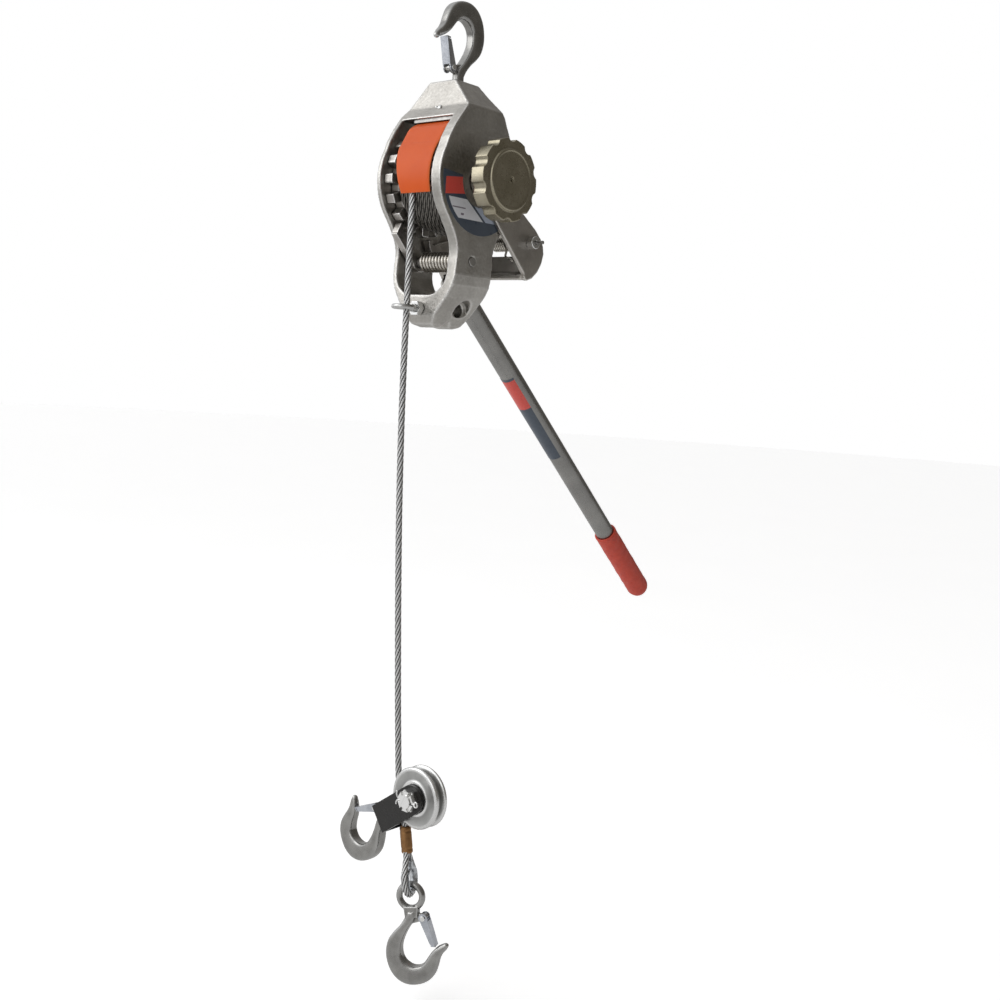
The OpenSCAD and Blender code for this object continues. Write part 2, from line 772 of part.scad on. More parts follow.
module end_latch_pin() {
    color("silver") place_end_hook() latch_pin();
}

module end_latch_spring() {
    color("silver") place_end_hook() latch_spring();
}

// ---------------------------------------------------------------- running block
module at_block() {
    at_drum() translate([block_x, end_y, block_z]) children();
}

// Parts of the block that tilt with its strap: +X of the children runs out along the strap
module along_strap() {
    at_block() rotate([0, -strap_tilt, 0]) mirror([1, 0, 0]) children();
}

module ring_y(r, y0, y1) {
    translate([0, y1, 0]) rotate([90, 0, 0]) cylinder(r = r, h = y1 - y0);
}

module sheave() {
    half = sheave_half;
    color("gainsboro") at_block() rotate([90, 0, 0]) rotate_extrude($fn = 96)
        polygon(concat([[9.5, -half], [sheave_r - 5, -half], [sheave_r, -half + 3]],
            [[sheave_r, -half + 4.5]],
            arc([groove_r + rope_r + 0.3, 0], rope_r + 0.3, 270, 90, 10),
            [[sheave_r, half - 4.5], [sheave_r, half - 3], [sheave_r - 5, half], [9.5, half]]));
}

module sheave_bush() {
    color("goldenrod") at_block() difference() {
        ring_y(9.5, -sheave_half - 0.4, sheave_half + 0.4);
        ring_y(6.5 + fit, -sheave_half - 1, sheave_half + 1);
    }
}

module block_strap() {
    color("black") along_strap() difference() {
        union() {
            for (side = [-1, 1]) translate([0, side * (strap_in + strap_t / 2) + strap_t / 2, 0])
                rotate([90, 0, 0]) linear_extrude(strap_t) union() {
                    circle(r = 14);
                    translate([0, -14]) square([strap_web + strap_t, 28]);
                }
            translate([strap_web, -strap_in - 0.1, -14]) cube([strap_t, 2 * strap_in + 0.2, 28]);
        }
        ring_y(6.5 + fit, -30, 30);
        translate([strap_web - 1, 0, 0]) rotate([0, 90, 0]) cylinder(r = shank_r + fit, h = 10);
    }
}

module block_pin() {
    color("silver") at_block() difference() {
        union() {
            ring_y(6.5, -strap_in - strap_t - 9, strap_in + strap_t + 0.3);
            ring_y(10, strap_in + strap_t + 0.3, strap_in + strap_t + 5);
        }
        translate([-20, -strap_in - strap_t - 6.5, 0]) rotate([0, 90, 0]) cylinder(r = 1.4, h = 40);
    }
}

module block_nut() {
    y0 = -strap_in - strap_t - 8;
    color("gray") at_block() difference() {
        translate([0, y0 + 7.7, 0]) rotate([90, 0, 0]) cylinder(d = 19 / cos(30), h = 7.7, $fn = 6);
        ring_y(6.5, y0 - 1, 0);
        for (i = [0:2]) translate([0, y0 + 0.8, 0]) rotate([0, 60 * i, 0])
            cube([30, 4.6, 3], center = true);
    }
}

module cotter_pin() {
    y = -strap_in - strap_t - 6.5;
    color("silver") at_block() union() {
        translate([-12, y, 0]) rotate([0, 90, 0]) cylinder(r = 1.4, h = 24);
        translate([13, y, 0]) rotate([90, 0, 0]) rotate_extrude()
            translate([2.2, 0]) circle(r = 1.1, $fn = 24);
    }
}

module place_block_hook() {
    along_strap() translate([strap_web + strap_t + 52.4, 0, 0]) rotate([0, 0, 180]) rotate([90, 0, 0])
        rotate([0, 0, -90]) mirror([1, 0, 0]) children();
}

module block_hook() {
    color("dimgray") place_block_hook() union() {
        hook_body();
        latch_ear();
        translate([0, 50, 0]) rotate([-90, 0, 0]) cylinder(r = shank_r, h = 52.4 + strap_t + 3.9 - 50);
    }
}

module block_hook_collar() {
    color("silver") place_block_hook() difference() {
        translate([0, 52.4 + strap_t + 0.3, 0]) rotate([-90, 0, 0]) cylinder(r = 8, h = 3);
        translate([0, 50, 0]) rotate([-90, 0, 0]) cylinder(r = shank_r, h = 20);
    }
}

module block_latch() {
    color("lightsteelblue") place_block_hook() latch();
}

module block_latch_pin() {
    color("silver") place_block_hook() latch_pin();
}

module block_latch_spring() {
    color("silver") place_block_hook() latch_spring();
}

top_hook();
hook_nut();
top_latch();
top_latch_pin();
top_latch_spring();
frame();
thrust_washer();
bush_left();
bush_right();
rope_guard();
guard_bracket();
guard_screws();
eyebolt();
eyebolt_nut();
side_label();
drum_shaft();
drum();
ratchet_wheel();
ratchet_rivets();
handwheel();
handwheel_screw();
shaft_ring();
rope_on_drum();
holding_pawl();
holding_pawl_pin();
holding_pawl_spring();
pawl_spacer();
handle_yoke();
drive_pawl();
drive_pawl_pin();
drive_pawl_nut();
drive_pawl_spring();
drive_pawl_spacer();
handle_tube();
handle_rivets();
handle_grip();
handle_label();
rope_upper();
rope_free();
ferrule();
rope_eye();
thimble();
end_hook();
end_latch();
end_latch_pin();
end_latch_spring();
sheave();
sheave_bush();
block_strap();
block_pin();
block_nut();
cotter_pin();
block_hook();
block_hook_collar();
block_latch();
block_latch_pin();
block_latch_spring();
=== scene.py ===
"""Wire rope puller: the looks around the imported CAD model.

Everything is in metres in the row frame: the origin is the bearing point inside the top hook,
+Z up, +X towards the handwheel, -Y towards the rope.  Sizes are written in mm and scaled by MM.
"""
import json
import math

import bmesh
import bpy
import numpy as np
from mathutils import Matrix, Vector


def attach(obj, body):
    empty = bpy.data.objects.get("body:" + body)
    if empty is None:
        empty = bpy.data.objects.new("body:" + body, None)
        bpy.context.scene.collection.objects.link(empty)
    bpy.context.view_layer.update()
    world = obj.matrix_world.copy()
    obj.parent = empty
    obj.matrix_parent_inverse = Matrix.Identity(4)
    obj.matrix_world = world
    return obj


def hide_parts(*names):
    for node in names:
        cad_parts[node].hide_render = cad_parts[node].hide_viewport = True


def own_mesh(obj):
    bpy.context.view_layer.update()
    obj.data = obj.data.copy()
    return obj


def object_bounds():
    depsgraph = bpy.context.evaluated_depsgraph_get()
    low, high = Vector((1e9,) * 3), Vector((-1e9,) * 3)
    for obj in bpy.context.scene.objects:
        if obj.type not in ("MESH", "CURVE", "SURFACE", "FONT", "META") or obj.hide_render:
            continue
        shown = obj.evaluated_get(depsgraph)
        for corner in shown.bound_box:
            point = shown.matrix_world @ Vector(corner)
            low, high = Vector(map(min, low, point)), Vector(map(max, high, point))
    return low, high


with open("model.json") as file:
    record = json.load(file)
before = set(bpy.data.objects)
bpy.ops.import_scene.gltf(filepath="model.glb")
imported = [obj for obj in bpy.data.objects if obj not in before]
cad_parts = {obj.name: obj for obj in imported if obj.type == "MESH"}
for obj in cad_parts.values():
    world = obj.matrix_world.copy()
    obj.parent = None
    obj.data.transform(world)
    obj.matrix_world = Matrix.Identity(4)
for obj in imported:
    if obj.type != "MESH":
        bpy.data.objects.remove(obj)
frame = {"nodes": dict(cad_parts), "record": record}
cad_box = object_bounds()

MM = 0.001
HOOK_BACK = 6  # the hook line stands this far behind the drum axis
DRUM_DROP = 155  # and the drum axis hangs this far below the bearing point
ROPE_D = 6.4
LAY_R = 46.5  # radius of the rope line on the full drum
CORE_R = 37.6
FREE_TOP = -127  # where the free rope starts, about the drum axis
FERRULE_TOP = -622
FERRULE_LEN = 26
END_X = 37
END_LEAN = math.radians(11)  # of the ferrule, the eye and its hook
EYE_Z = -690
END_TURN = math.radians(25)
STRAP_TILT = math.radians(36)
HANDLE_DIP = math.radians(43)
TUBE_R = 11.1
TUBE_LEN = 530
GRIP_R = 13.8
GRIP_LEN = 130
SLOT_OF = {p["node"]: p["material_slot"] for p in frame["record"]["subparts"]}
BODY_OF = {n: b for b, ns in frame["record"]["behaviour"]["bodies"].items() for n in ns}


# ---------------------------------------------------------------- places
def place(origin, x_axis, y_axis, z_axis):
    """A 4 x 4 matrix from a part's own mm to metres about the drum axis."""
    m = np.eye(4)
    m[:3, 0], m[:3, 1], m[:3, 2], m[:3, 3] = x_axis, y_axis, z_axis, origin
    shift = np.eye(4)
    shift[:3, 3] = (0, -HOOK_BACK, -DRUM_DROP)
    scale = np.diag((MM, MM, MM, 1))
    return scale @ shift @ m


def unit(v):
    v = np.asarray(v, float)
    return v / np.linalg.norm(v)


SIN_T, COS_T = math.sin(END_TURN), math.cos(END_TURN)
STRAP_DIR = np.array((-math.cos(STRAP_TILT), 0, -math.sin(STRAP_TILT)))
STRAP_UP = np.array((-math.sin(STRAP_TILT), 0, math.cos(STRAP_TILT)))
TUBE_DIR = np.array((0, math.cos(HANDLE_DIP), -math.sin(HANDLE_DIP)))
TUBE_UP = np.array((0, math.sin(HANDLE_DIP), math.cos(HANDLE_DIP)))
TUBE_FROM = np.array((-31.8, 46, -84))
BLOCK = np.array((54.4, -LAY_R, FERRULE_TOP + 34))
SIN_L, COS_L = math.sin(END_LEAN), math.cos(END_LEAN)
END_AXES = np.array(((COS_L, 0, SIN_L), (0, 1, 0), (-SIN_L, 0, COS_L)))
END_SIDE = COS_T * END_AXES[0] + SIN_T * END_AXES[1]  # along the hook, and across it
END_ACROSS = COS_T * END_AXES[1] - SIN_T * END_AXES[0]


def end_point(z):
    """On the line of the leaning rope end, z as it would be hanging straight."""
    return np.array((END_X, -LAY_R, FERRULE_TOP)) + (z - FERRULE_TOP) * END_AXES[2]


HOOK_REACH = 52 + 3 + 52.4  # from the sheave's pin to the block hook's bearing point

DRUM = place((0, 0, 0), (1, 0, 0), (0, 1, 0), (0, 0, 1))
TOP_HOOK = place((0, HOOK_BACK, DRUM_DROP), (0, -1, 0), (0, 0, -1), (1, 0, 0))
END_HOOK = place(end_point(EYE_Z - 67), END_SIDE, END_AXES[2], -END_ACROSS)
BLOCK_HOOK = place(BLOCK + HOOK_REACH * STRAP_DIR, STRAP_UP, -STRAP_DIR, (0, 1, 0))
ROPE_EYE = place(end_point(0), END_ACROSS, END_AXES[2], END_SIDE)
TUBE = place(TUBE_FROM, (1, 0, 0), TUBE_UP, TUBE_DIR)
SHEAVE = place(BLOCK, (1, 0, 0), (0, 0, 1), (0, -1, 0))


def moved(points, m):
    p = np.asarray(points, float)
    return p @ m[:3, :3].T + m[:3, 3]


# ---------------------------------------------------------------- camera
def make_camera():
    right, up = Vector((0.7547, 0.6530, 0.0629)), Vector((-0.1155, 0.0379, 0.9926))
    right.normalize()
    up = (up - right * up.dot(right)).normalized()
    back = right.cross(up)
    data = bpy.data.cameras.new("camera")
    data.sensor_width, data.lens = 36, 44.06
    data.clip_start, data.clip_end = 0.05, 60
    ob = bpy.data.objects.new("camera", data)
    m = Matrix((right, up, back)).transposed().to_4x4()
    m.translation = (0.840, -0.882, -0.332)
    ob.matrix_world = m
    bpy.context.scene.collection.objects.link(ob)
    bpy.context.scene.camera = ob


make_camera()


# ---------------------------------------------------------------- materials
class Look:
    """A node material that is put together by short calls."""

    def __init__(self, name, base, rough, metal, **sockets):
        self.mat = bpy.data.materials.new(name)
        self.mat.use_nodes = True
        self.tree = self.mat.node_tree
        self.shader = self.tree.nodes["Principled BSDF"]
        self.set("Base Color", (*base, 1))
        self.set("Roughness", rough)
        self.set("Metallic", metal)
        for socket, value in sockets.items():
            self.set(socket.replace("_", " "), value)
        self.coords = self.add("TexCoord").outputs["Object"]

    def add(self, kind, **settings):
        n = self.tree.nodes.new("ShaderNode" + kind)
        for key, value in settings.items():
            setattr(n, key, value)
        return n

    def set(self, socket, value):
        if hasattr(value, "links"):
            self.tree.links.new(value, self.shader.inputs[socket])
        else:
            self.shader.inputs[socket].default_value = value

    def feed(self, node, **inputs):
        for key, value in inputs.items():
            name = int(key[1:]) if key[0] == "_" and key[1:].isdigit() else key.replace("_", " ")
            if hasattr(value, "links"):
                self.tree.links.new(value, node.inputs[name])
            else:
                node.inputs[name].default_value = value
        return node

    def noise(self, size_mm, detail=4, rough=0.55):
        """Fractal noise with features of about size_mm."""
        n = self.feed(self.add("TexNoise"), Vector=self.coords, Scale=1 / (size_mm * MM), Detail=detail,
                      Roughness=rough)
        return n.outputs["Fac"]

    def cells(self, size_mm):
        n = self.feed(self.add("TexVoronoi"), Vector=self.coords, Scale=1 / (size_mm * MM))
        return n.outputs["Distance"]

    def ramp(self, fac, stops):
        """stops is a list of (place, value or colour)."""
        n = self.add("ValToRGB")
        while len(n.color_ramp.elements) < len(stops):
            n.color_ramp.elements.new(0.5)
        for e, (at, value) in zip(n.color_ramp.elements, stops):
            e.position = at
            e.color = (*value, 1) if hasattr(value, "__len__") else (value, value, value, 1)
        self.tree.links.new(fac, n.inputs[0])
        return n.outputs[0]

    def math(self, op, a, b=0.0, clamp=False):
        n = self.feed(self.add("Math", operation=op, use_clamp=clamp), _0=a, _1=b)
        return n.outputs[0]

    def mix(self, fac, a, b, how="MIX"):
        n = self.add("Mix", data_type="RGBA", blend_type=how)
        for key, value in ((0, fac), (6, a), (7, b)):
            if hasattr(value, "links"):
                self.tree.links.new(value, n.inputs[key])
            else:
                n.inputs[key].default_value = (*value, 1) if hasattr(value, "__len__") else value
        return n.outputs[2]

    def edges(self, low=0.5, high=0.56):
        """1 on outer edges, 0 elsewhere: for worn edges, and on the guard for a painted highlight."""
        return self.ramp(self.add("NewGeometry").outputs["Pointiness"], [(low, 0.0), (high, 1.0)])

    def corner_shade(self, low=0.42, high=0.5):
        """1 in inner corners, for the painted shade that darkens them."""
        return self.ramp(self.add("NewGeometry").outputs["Pointiness"], [(low, 1.0), (high, 0.0)])

    def bump(self, height, strength, depth_mm, normal=None):
        n = self.feed(self.add("Bump"), Height=height, Strength=strength, Distance=depth_mm * MM)
        if normal is not None:
            self.tree.links.new(normal, n.inputs["Normal"])
        return n.outputs[0]

    def axes(self):
        return self.feed(self.add("SeparateXYZ"), _0=self.coords).outputs


def metal_look(name, base, dark, rough, patch_mm, grain_mm, grain, metal=1.0, spread=0.12, wear=None,
               pits=0.0, **sockets):
    """Metal with cloudy tone, painted shade in its inner corners, grain in its gloss, a fine rough skin and, if wear
    is a colour, bright edges.
    """
    look = Look(name, base, rough, metal, **sockets)
    tone = look.ramp(look.noise(patch_mm), [(0.3, dark), (0.7, base)])
    # painted shade: inner corners darkened towards half the dark tone
    tone = look.mix(look.corner_shade(), tone, [c * 0.45 for c in dark])
    gloss = look.ramp(look.noise(grain_mm * 3, 5), [(0.25, rough - spread), (0.75, rough + spread)])
    if wear:
        worn = look.edges()
        tone = look.mix(worn, tone, wear)
        gloss = look.mix(worn, gloss, [rough * 0.55] * 3)
    look.set("Base Color", tone)
    look.set("Roughness", gloss)
    fine = look.bump(look.noise(grain_mm, 3, 0.6), grain, 0.25)
    broad = look.bump(look.noise(grain_mm * 7, 2), grain * 0.6, 0.5, fine)
    if pits:
        hole = look.ramp(look.cells(grain_mm * 4), [(0.05, 0.0), (0.3, 1.0)])
        broad = look.bump(hole, pits, 0.2, broad)
    look.set("Normal", broad)
    return look


def frame_look():
    """Sand-cast aluminium: pebbled, warm grey, its edges tumbled bright."""
    look = metal_look("cast_aluminium", (0.47, 0.455, 0.425), (0.35, 0.335, 0.31), 0.4, 24, 0.9, 0.8, spread=0.1,
                      wear=(0.72, 0.71, 0.69), pits=0.35)
    return look.mat


def decal_look():
    """A printed label: slate with a red field and two pale panels, and no lettering."""
    look = Look("decal_slate", (0.11, 0.15, 0.2), 0.34, 0.0, Coat_Weight=0.35, Coat_Roughness=0.2)
    x, y, z = look.axes()
    y = look.math("ADD", y, HOOK_BACK * MM)
    z = look.math("ADD", z, DRUM_DROP * MM)

    def band(value, low, high):
        return look.math("MULTIPLY", look.math("GREATER_THAN", value, low * MM),
                         look.math("LESS_THAN", value, high * MM))

    radius = look.math("SQRT", look.math("ADD", look.math("POWER", y, 2.0), look.math("POWER", z, 2.0)))
    slant = look.math("ADD", y, look.math("MULTIPLY", look.math("ADD", z, 18 * MM), 1.318))
    side = look.math("LESS_THAN", look.math("ABSOLUTE", look.math("SUBTRACT", x, 42 * MM)), 1.5 * MM)
    tilted = look.math("SUBTRACT", z, look.math("MULTIPLY", look.math("ADD", y, 32 * MM), 0.127))
    red = look.math("MULTIPLY", band(y, -46.5, -17.8), band(tilted, -15.2, 0.2))
    rows = look.math("MULTIPLY", band(z, -36.5, -18.4), look.math("LESS_THAN", radius, 45.5 * MM))
    panel_a = look.math("MULTIPLY", rows, look.math("LESS_THAN", slant, -16.9 * MM))
    panel_b = look.math("MULTIPLY", rows, band(slant, -13.2, 0.8))
    rule = look.math("MULTIPLY", panel_a, look.math("MULTIPLY", band(z, -27.6, -26.4), band(y, -36, -18)))
    dash = look.math("MULTIPLY", panel_a, look.math("MULTIPLY", band(z, -33.6, -31.6), band(y, -24, -20)))
    print_noise = look.noise(1.3, 2)
    tone = look.mix(look.noise(18), (0.045, 0.06, 0.085), (0.07, 0.09, 0.12))
    ink = look.mix(print_noise, (0.66, 0.07, 0.055), (0.78, 0.1, 0.075))
    tone = look.mix(look.math("MULTIPLY", side, red), tone, ink)
    paper = look.mix(print_noise, (0.66, 0.67, 0.7), (0.75, 0.76, 0.79))
    tone = look.mix(look.math("MULTIPLY", side, panel_a), tone, paper)
    tone = look.mix(look.math("MULTIPLY", side, panel_b), tone, (0.43, 0.48, 0.58))
    tone = look.mix(look.math("MULTIPLY", side, look.math("ADD", rule, dash, True)), tone, (0.2, 0.17, 0.2))
    look.set("Base Color", tone)
    look.set("Roughness", look.ramp(look.noise(6), [(0.3, 0.26), (0.7, 0.42)]))
    look.set("Normal", look.bump(look.noise(1.2, 2), 0.12, 0.2))
    return look.mat


def handle_decal_look():
    """The strip on the handle tube: red at its upper end, slate along the rest."""
    look = Look("decal_handle", (0.11, 0.15, 0.2), 0.36, 0.0, Coat_Weight=0.3, Coat_Roughness=0.25)
    x, y, z = look.axes()
    start = moved([(0, 0, 0)], TUBE)[0]
    along = look.math("ADD", look.math("MULTIPLY", look.math("SUBTRACT", y, float(start[1])), float(TUBE_DIR[1])),
                      look.math("MULTIPLY", look.math("SUBTRACT", z, float(start[2])), float(TUBE_DIR[2])))
    red = look.math("MULTIPLY", look.math("GREATER_THAN", along, 141 * MM), look.math("LESS_THAN", along, 184 * MM))
    tone = look.mix(look.noise(14), (0.05, 0.065, 0.09), (0.075, 0.095, 0.125))
    look.set("Base Color", look.mix(red, tone, (0.7, 0.08, 0.06)))
    look.set("Roughness", look.ramp(look.noise(5), [(0.3, 0.28), (0.7, 0.44)]))
    return look.mat


def rope_look(name, dull, bright):
    """Galvanised strands: bright crowns, painted shade darkening the grooves between them, fine wires across each
    strand.
    """
    look = Look(name, bright, 0.3, 1.0)
    groove_shade = look.add("Attribute", attribute_name="groove_shade").outputs["Fac"]
    tone = look.mix(look.noise(9), dull, bright)
    # painted shade: the grooves between strands darkened nearly to black
    tone = look.mix(look.ramp(groove_shade, [(0.12, 0.0), (0.7, 1.0)]), tone, (0.018, 0.017, 0.015))
    look.set("Base Color", tone)
    look.set("Roughness", look.ramp(look.noise(2.5), [(0.3, 0.22), (0.7, 0.42)]))
    uv = look.add("TexCoord").outputs["UV"]
    wires = look.feed(look.add("TexWave", wave_type="BANDS", bands_direction="DIAGONAL"), Vector=uv, Scale=9.0,
                      Distortion=0.4)
    look.set("Normal", look.bump(wires.outputs["Fac"], 0.35, 0.15))
    return look.mat


def guard_look():
    look = Look("guard_orange", (0.68, 0.1, 0.014), 0.5, 0.0, Specular_IOR_Level=0.2)
    tone = look.mix(look.noise(22), (0.61, 0.085, 0.012), (0.7, 0.112, 0.016))
    # painted highlight: lighter orange along the strip's outer edges
    tone = look.mix(look.edges(0.52, 0.62), tone, (0.78, 0.2, 0.06))
    look.set("Base Color", tone)
    look.set("Roughness", look.ramp(look.noise(3), [(0.3, 0.3), (0.7, 0.45)]))
    look.set("Normal", look.bump(look.noise(1.4, 3), 0.1, 0.2))
    return look.mat


def grip_look():
    look = Look("grip_vinyl", (0.6, 0.06, 0.035), 0.5, 0.0, Specular_IOR_Level=0.45)
    tone = look.mix(look.noise(7, 5), (0.46, 0.04, 0.026), (0.68, 0.085, 0.045))
    # painted shade: the grip's hollows darkened to a deep red
    look.set("Base Color", look.mix(look.corner_shade(0.44, 0.5), tone, (0.3, 0.02, 0.015)))
    look.set("Roughness", look.ramp(look.noise(2.4), [(0.3, 0.36), (0.7, 0.6)]))
    pebbles = look.ramp(look.cells(2.2), [(0.1, 1.0), (0.55, 0.0)])
    look.set("Normal", look.bump(look.noise(1.0, 3), 0.3, 0.3, look.bump(pebbles, 0.35, 0.5)))
    return look.mat


def strap_look():
    look = Look("strap_black", (0.012, 0.011, 0.01), 0.3, 0.0, Specular_IOR_Level=0.3, Coat_Weight=0.12,
                Coat_Roughness=0.14)
    tone = look.mix(look.noise(11), (0.008, 0.008, 0.008), (0.022, 0.02, 0.018))
    look.set("Base Color", look.mix(look.edges(0.55, 0.66), tone, (0.2, 0.19, 0.18)))
    look.set("Roughness", look.ramp(look.noise(4), [(0.3, 0.22), (0.7, 0.4)]))
    look.set("Normal", look.bump(look.noise(2.0, 3), 0.16, 0.3))
    return look.mat


def ferrule_look():
    look = Look("ferrule_copper", (0.36, 0.19, 0.08), 0.42, 1.0)
    tone = look.mix(look.noise(5, 5), (0.13, 0.065, 0.03), (0.46, 0.25, 0.105))
    # painted shade: the sleeve's hollows darkened nearly to black
    look.set("Base Color", look.mix(look.corner_shade(0.45, 0.5), tone, (0.05, 0.03, 0.02)))
    look.set("Roughness", look.ramp(look.noise(2.5), [(0.3, 0.28), (0.7, 0.6)]))
    look.set("Normal", look.bump(look.noise(1.2, 3), 0.3, 0.3))
    return look.mat


# Plain metals: base colour, darker tone, roughness, size of the patches and of the grain in mm, depth of the grain
METALS = {
    "forged_hook": ((0.34, 0.335, 0.32), (0.24, 0.235, 0.225), 0.25, 12, 2.2, 0.08),
    "zinc_latch": ((0.6, 0.62, 0.66), (0.42, 0.44, 0.48), 0.22, 9, 0.9, 0.12),
    "bright_steel": ((0.5, 0.5, 0.49), (0.34, 0.34, 0.33), 0.24, 9, 0.9, 0.12),
    "spring_steel": ((0.74, 0.71, 0.65), (0.55, 0.52, 0.47), 0.24, 9, 0.9, 0.12),
    "bronze": ((0.55, 0.37, 0.16), (0.36, 0.24, 0.1), 0.36, 9, 0.9, 0.12),
    "bracket_steel": ((0.42, 0.41, 0.39), (0.3, 0.29, 0.28), 0.34, 9, 0.9, 0.12),
    "drum_cast": ((0.36, 0.35, 0.33), (0.24, 0.23, 0.22), 0.45, 14, 1.0, 0.25),
    "ratchet_cast": ((0.48, 0.46, 0.43), (0.33, 0.31, 0.29), 0.36, 15, 0.9, 0.4),
    "knob_chromate": ((0.4, 0.365, 0.28), (0.3, 0.27, 0.195), 0.3, 20, 1.1, 0.12),
    "yoke_cast": ((0.44, 0.415, 0.38), (0.32, 0.3, 0.275), 0.38, 22, 0.8, 0.42),
    "tube_satin": ((0.33, 0.325, 0.31), (0.26, 0.255, 0.245), 0.3, 30, 0.9, 0.12),
    "thimble_galvanised": ((0.66, 0.68, 0.7), (0.46, 0.48, 0.5), 0.3, 5, 1.0, 0.2),
    "sheave_cast": ((0.5, 0.5, 0.49), (0.38, 0.38, 0.37), 0.38, 14, 0.8, 0.4),
}
# What else some of them have: the spread of their gloss, bright worn edges, pits
EXTRAS = {
    "forged_hook": dict(spread=0.05, wear=(0.7, 0.7, 0.69)),
    "zinc_latch": dict(spread=0.08),
    "bright_steel": dict(spread=0.08, wear=(0.85, 0.85, 0.84)),
    "spring_steel": dict(spread=0.07),
    "bronze": dict(spread=0.08),
    "bracket_steel": dict(spread=0.08),
    "ratchet_cast": dict(wear=(0.8, 0.79, 0.77)),
    "knob_chromate": dict(spread=0.06),
    "yoke_cast": dict(wear=(0.66, 0.64, 0.6), pits=0.08),
    "tube_satin": dict(spread=0.08),
    "sheave_cast": dict(metal=0.95, wear=(0.8, 0.8, 0.79)),
}


def make_looks():
    looks = {"cast_aluminium": frame_look()}
    for name, values in METALS.items():
        looks[name] = metal_look(name, *values, **EXTRAS.get(name, {})).mat
    looks["rope_galvanised"] = rope_look("rope_galvanised", (0.5, 0.5, 0.49), (0.8, 0.8, 0.8))
    looks.update(guard_orange=guard_look(), grip_vinyl=grip_look(), strap_black=strap_look(),
                 ferrule_copper=ferrule_look(), decal_slate=decal_look())
    return looks


LOOKS = make_looks()


# ---------------------------------------------------------------- mesh helpers
def loft(rings, caps=True, ring_on=False):
    """Vertices and faces of a skin over rings with equal numbers of points; ring_on joins the last to the first."""
    rings = np.asarray(rings, float)
    n, m = rings.shape[:2]
    i, k = np.meshgrid(np.arange(n if ring_on else n - 1), np.arange(m), indexing="ij")
    up, on = (i + 1) % n, (k + 1) % m
    quads = np.stack([i * m + k, i * m + on, up * m + on, up * m + k], -1).reshape(-1, 4)
    faces = quads.tolist()
    if caps and not ring_on:
        faces += [list(range(m))[::-1], list(range((n - 1) * m, n * m))]
    return rings.reshape(-1, 3), faces


def joined(*shells):
    """Several (vertices, faces) as one."""
    verts, faces, at = [], [], 0
    for v, f in shells:
        verts.append(np.asarray(v, float))
        faces += [[i + at for i in face] for face in f]
        at += len(v)
    return np.concatenate(verts), faces


def spline(points, per_span):
    """A Catmull-Rom run through the points."""
    p = np.asarray(points, float)
    q = np.vstack([2 * p[0] - p[1], p, 2 * p[-1] - p[-2]])
    t = np.linspace(0, 1, per_span, endpoint=False)[:, None]
    spans = []
    for a, b, c, d in zip(q[:-3], q[1:-2], q[2:-1], q[3:]):
        square, cube = 2 * a - 5 * b + 4 * c - d, 3 * b - a - 3 * c + d
        spans.append(0.5 * (2 * b + (c - a) * t + square * t**2 + cube * t**3))
    return np.vstack([*spans, p[-1:]])


def even(path, step):
    """The path again with points about step apart, and how far along each one is."""
    path = np.asarray(path, float)
    run = np.concatenate([[0], np.cumsum(np.linalg.norm(np.diff(path, axis=0), axis=1))])
    at = np.linspace(0, run[-1], max(2, int(round(run[-1] / step)) + 1))
    return np.stack([np.interp(at, run, path[:, k]) for k in range(path.shape[1])], 1), at


def sides(path, first, closed=False):
    """Two directions across the path at each point, carried along it without twisting."""
    if closed:
        t = np.roll(path, -1, 0) - np.roll(path, 1, 0)
    else:
        t = np.gradient(path, axis=0)
    t /= np.linalg.norm(t, axis=1)[:, None]
    a = np.zeros_like(path)
    v = np.asarray(first, float)
    for i, d in enumerate(t):
        v = v - d * v.dot(d)
        v = v / np.linalg.norm(v)
        a[i] = v
    return a, np.cross(t, a)


def swept(path, section, first=(0, 0, 1), closed=False):
    """section is an array of (across, across) points, or one such array for each point of the path."""
    path = np.asarray(path, float)
    a, b = sides(path, first, closed)
    s = np.asarray(section, float)
    if s.ndim == 2:
        s = np.broadcast_to(s, (len(path), *s.shape))
    rings = path[:, None] + s[..., :1] * a[:, None] + s[..., 1:] * b[:, None]
    return loft(rings, ring_on=closed)


def circle(r, n=24):
    a = np.linspace(0, 2 * math.pi, n, endpoint=False)
    return np.stack([r * np.cos(a), r * np.sin(a)], 1)


def wire(path, r, n=14, first=(0, 0, 1)):
    """A round wire with rounded ends."""
    path = np.asarray(path, float)
    t0, t1 = unit(path[0] - path[1]), unit(path[-1] - path[-2])
    dome = [(0.45, 0.89), (0.8, 0.6), (0.97, 0.22)]
    lead = [path[0] + t0 * r * f for f, _ in reversed(dome)]
    tail = [path[-1] + t1 * r * f for f, _ in dome]
    size = [g for _, g in reversed(dome)] + [1] * len(path) + [g for _, g in dome]
    section = circle(r, n)[None] * np.asarray(size)[:, None, None]
    return swept(np.vstack([lead, path, tail]), section, first)


def lathe(profile, n=96, closed=False):
    """Turns (radius, height) points about local z."""
    a = np.linspace(0, 2 * math.pi, n, endpoint=False)
    rings = [[(r * math.cos(t), r * math.sin(t), h) for t in a] for r, h in profile]
    return loft(rings, not closed, closed)


def ball(centre, r, n=20):
    rows = [(r * math.sin(t), -r * math.cos(t)) for t in np.linspace(0.12, math.pi - 0.12, n // 2)]
    v, f = lathe(rows, n)
    return v + np.asarray(centre, float), f


def slab(outline, low, high):
    """A flat outline in local x, y as a solid from low to high in z."""
    return loft([[(x, y, z) for x, y in outline] for z in (low, high)])


def arc(cx, cy, r, a0, a1, n):
    return [(cx + r * math.cos(t), cy + r * math.sin(t)) for t in np.radians(np.linspace(a0, a1, n))]


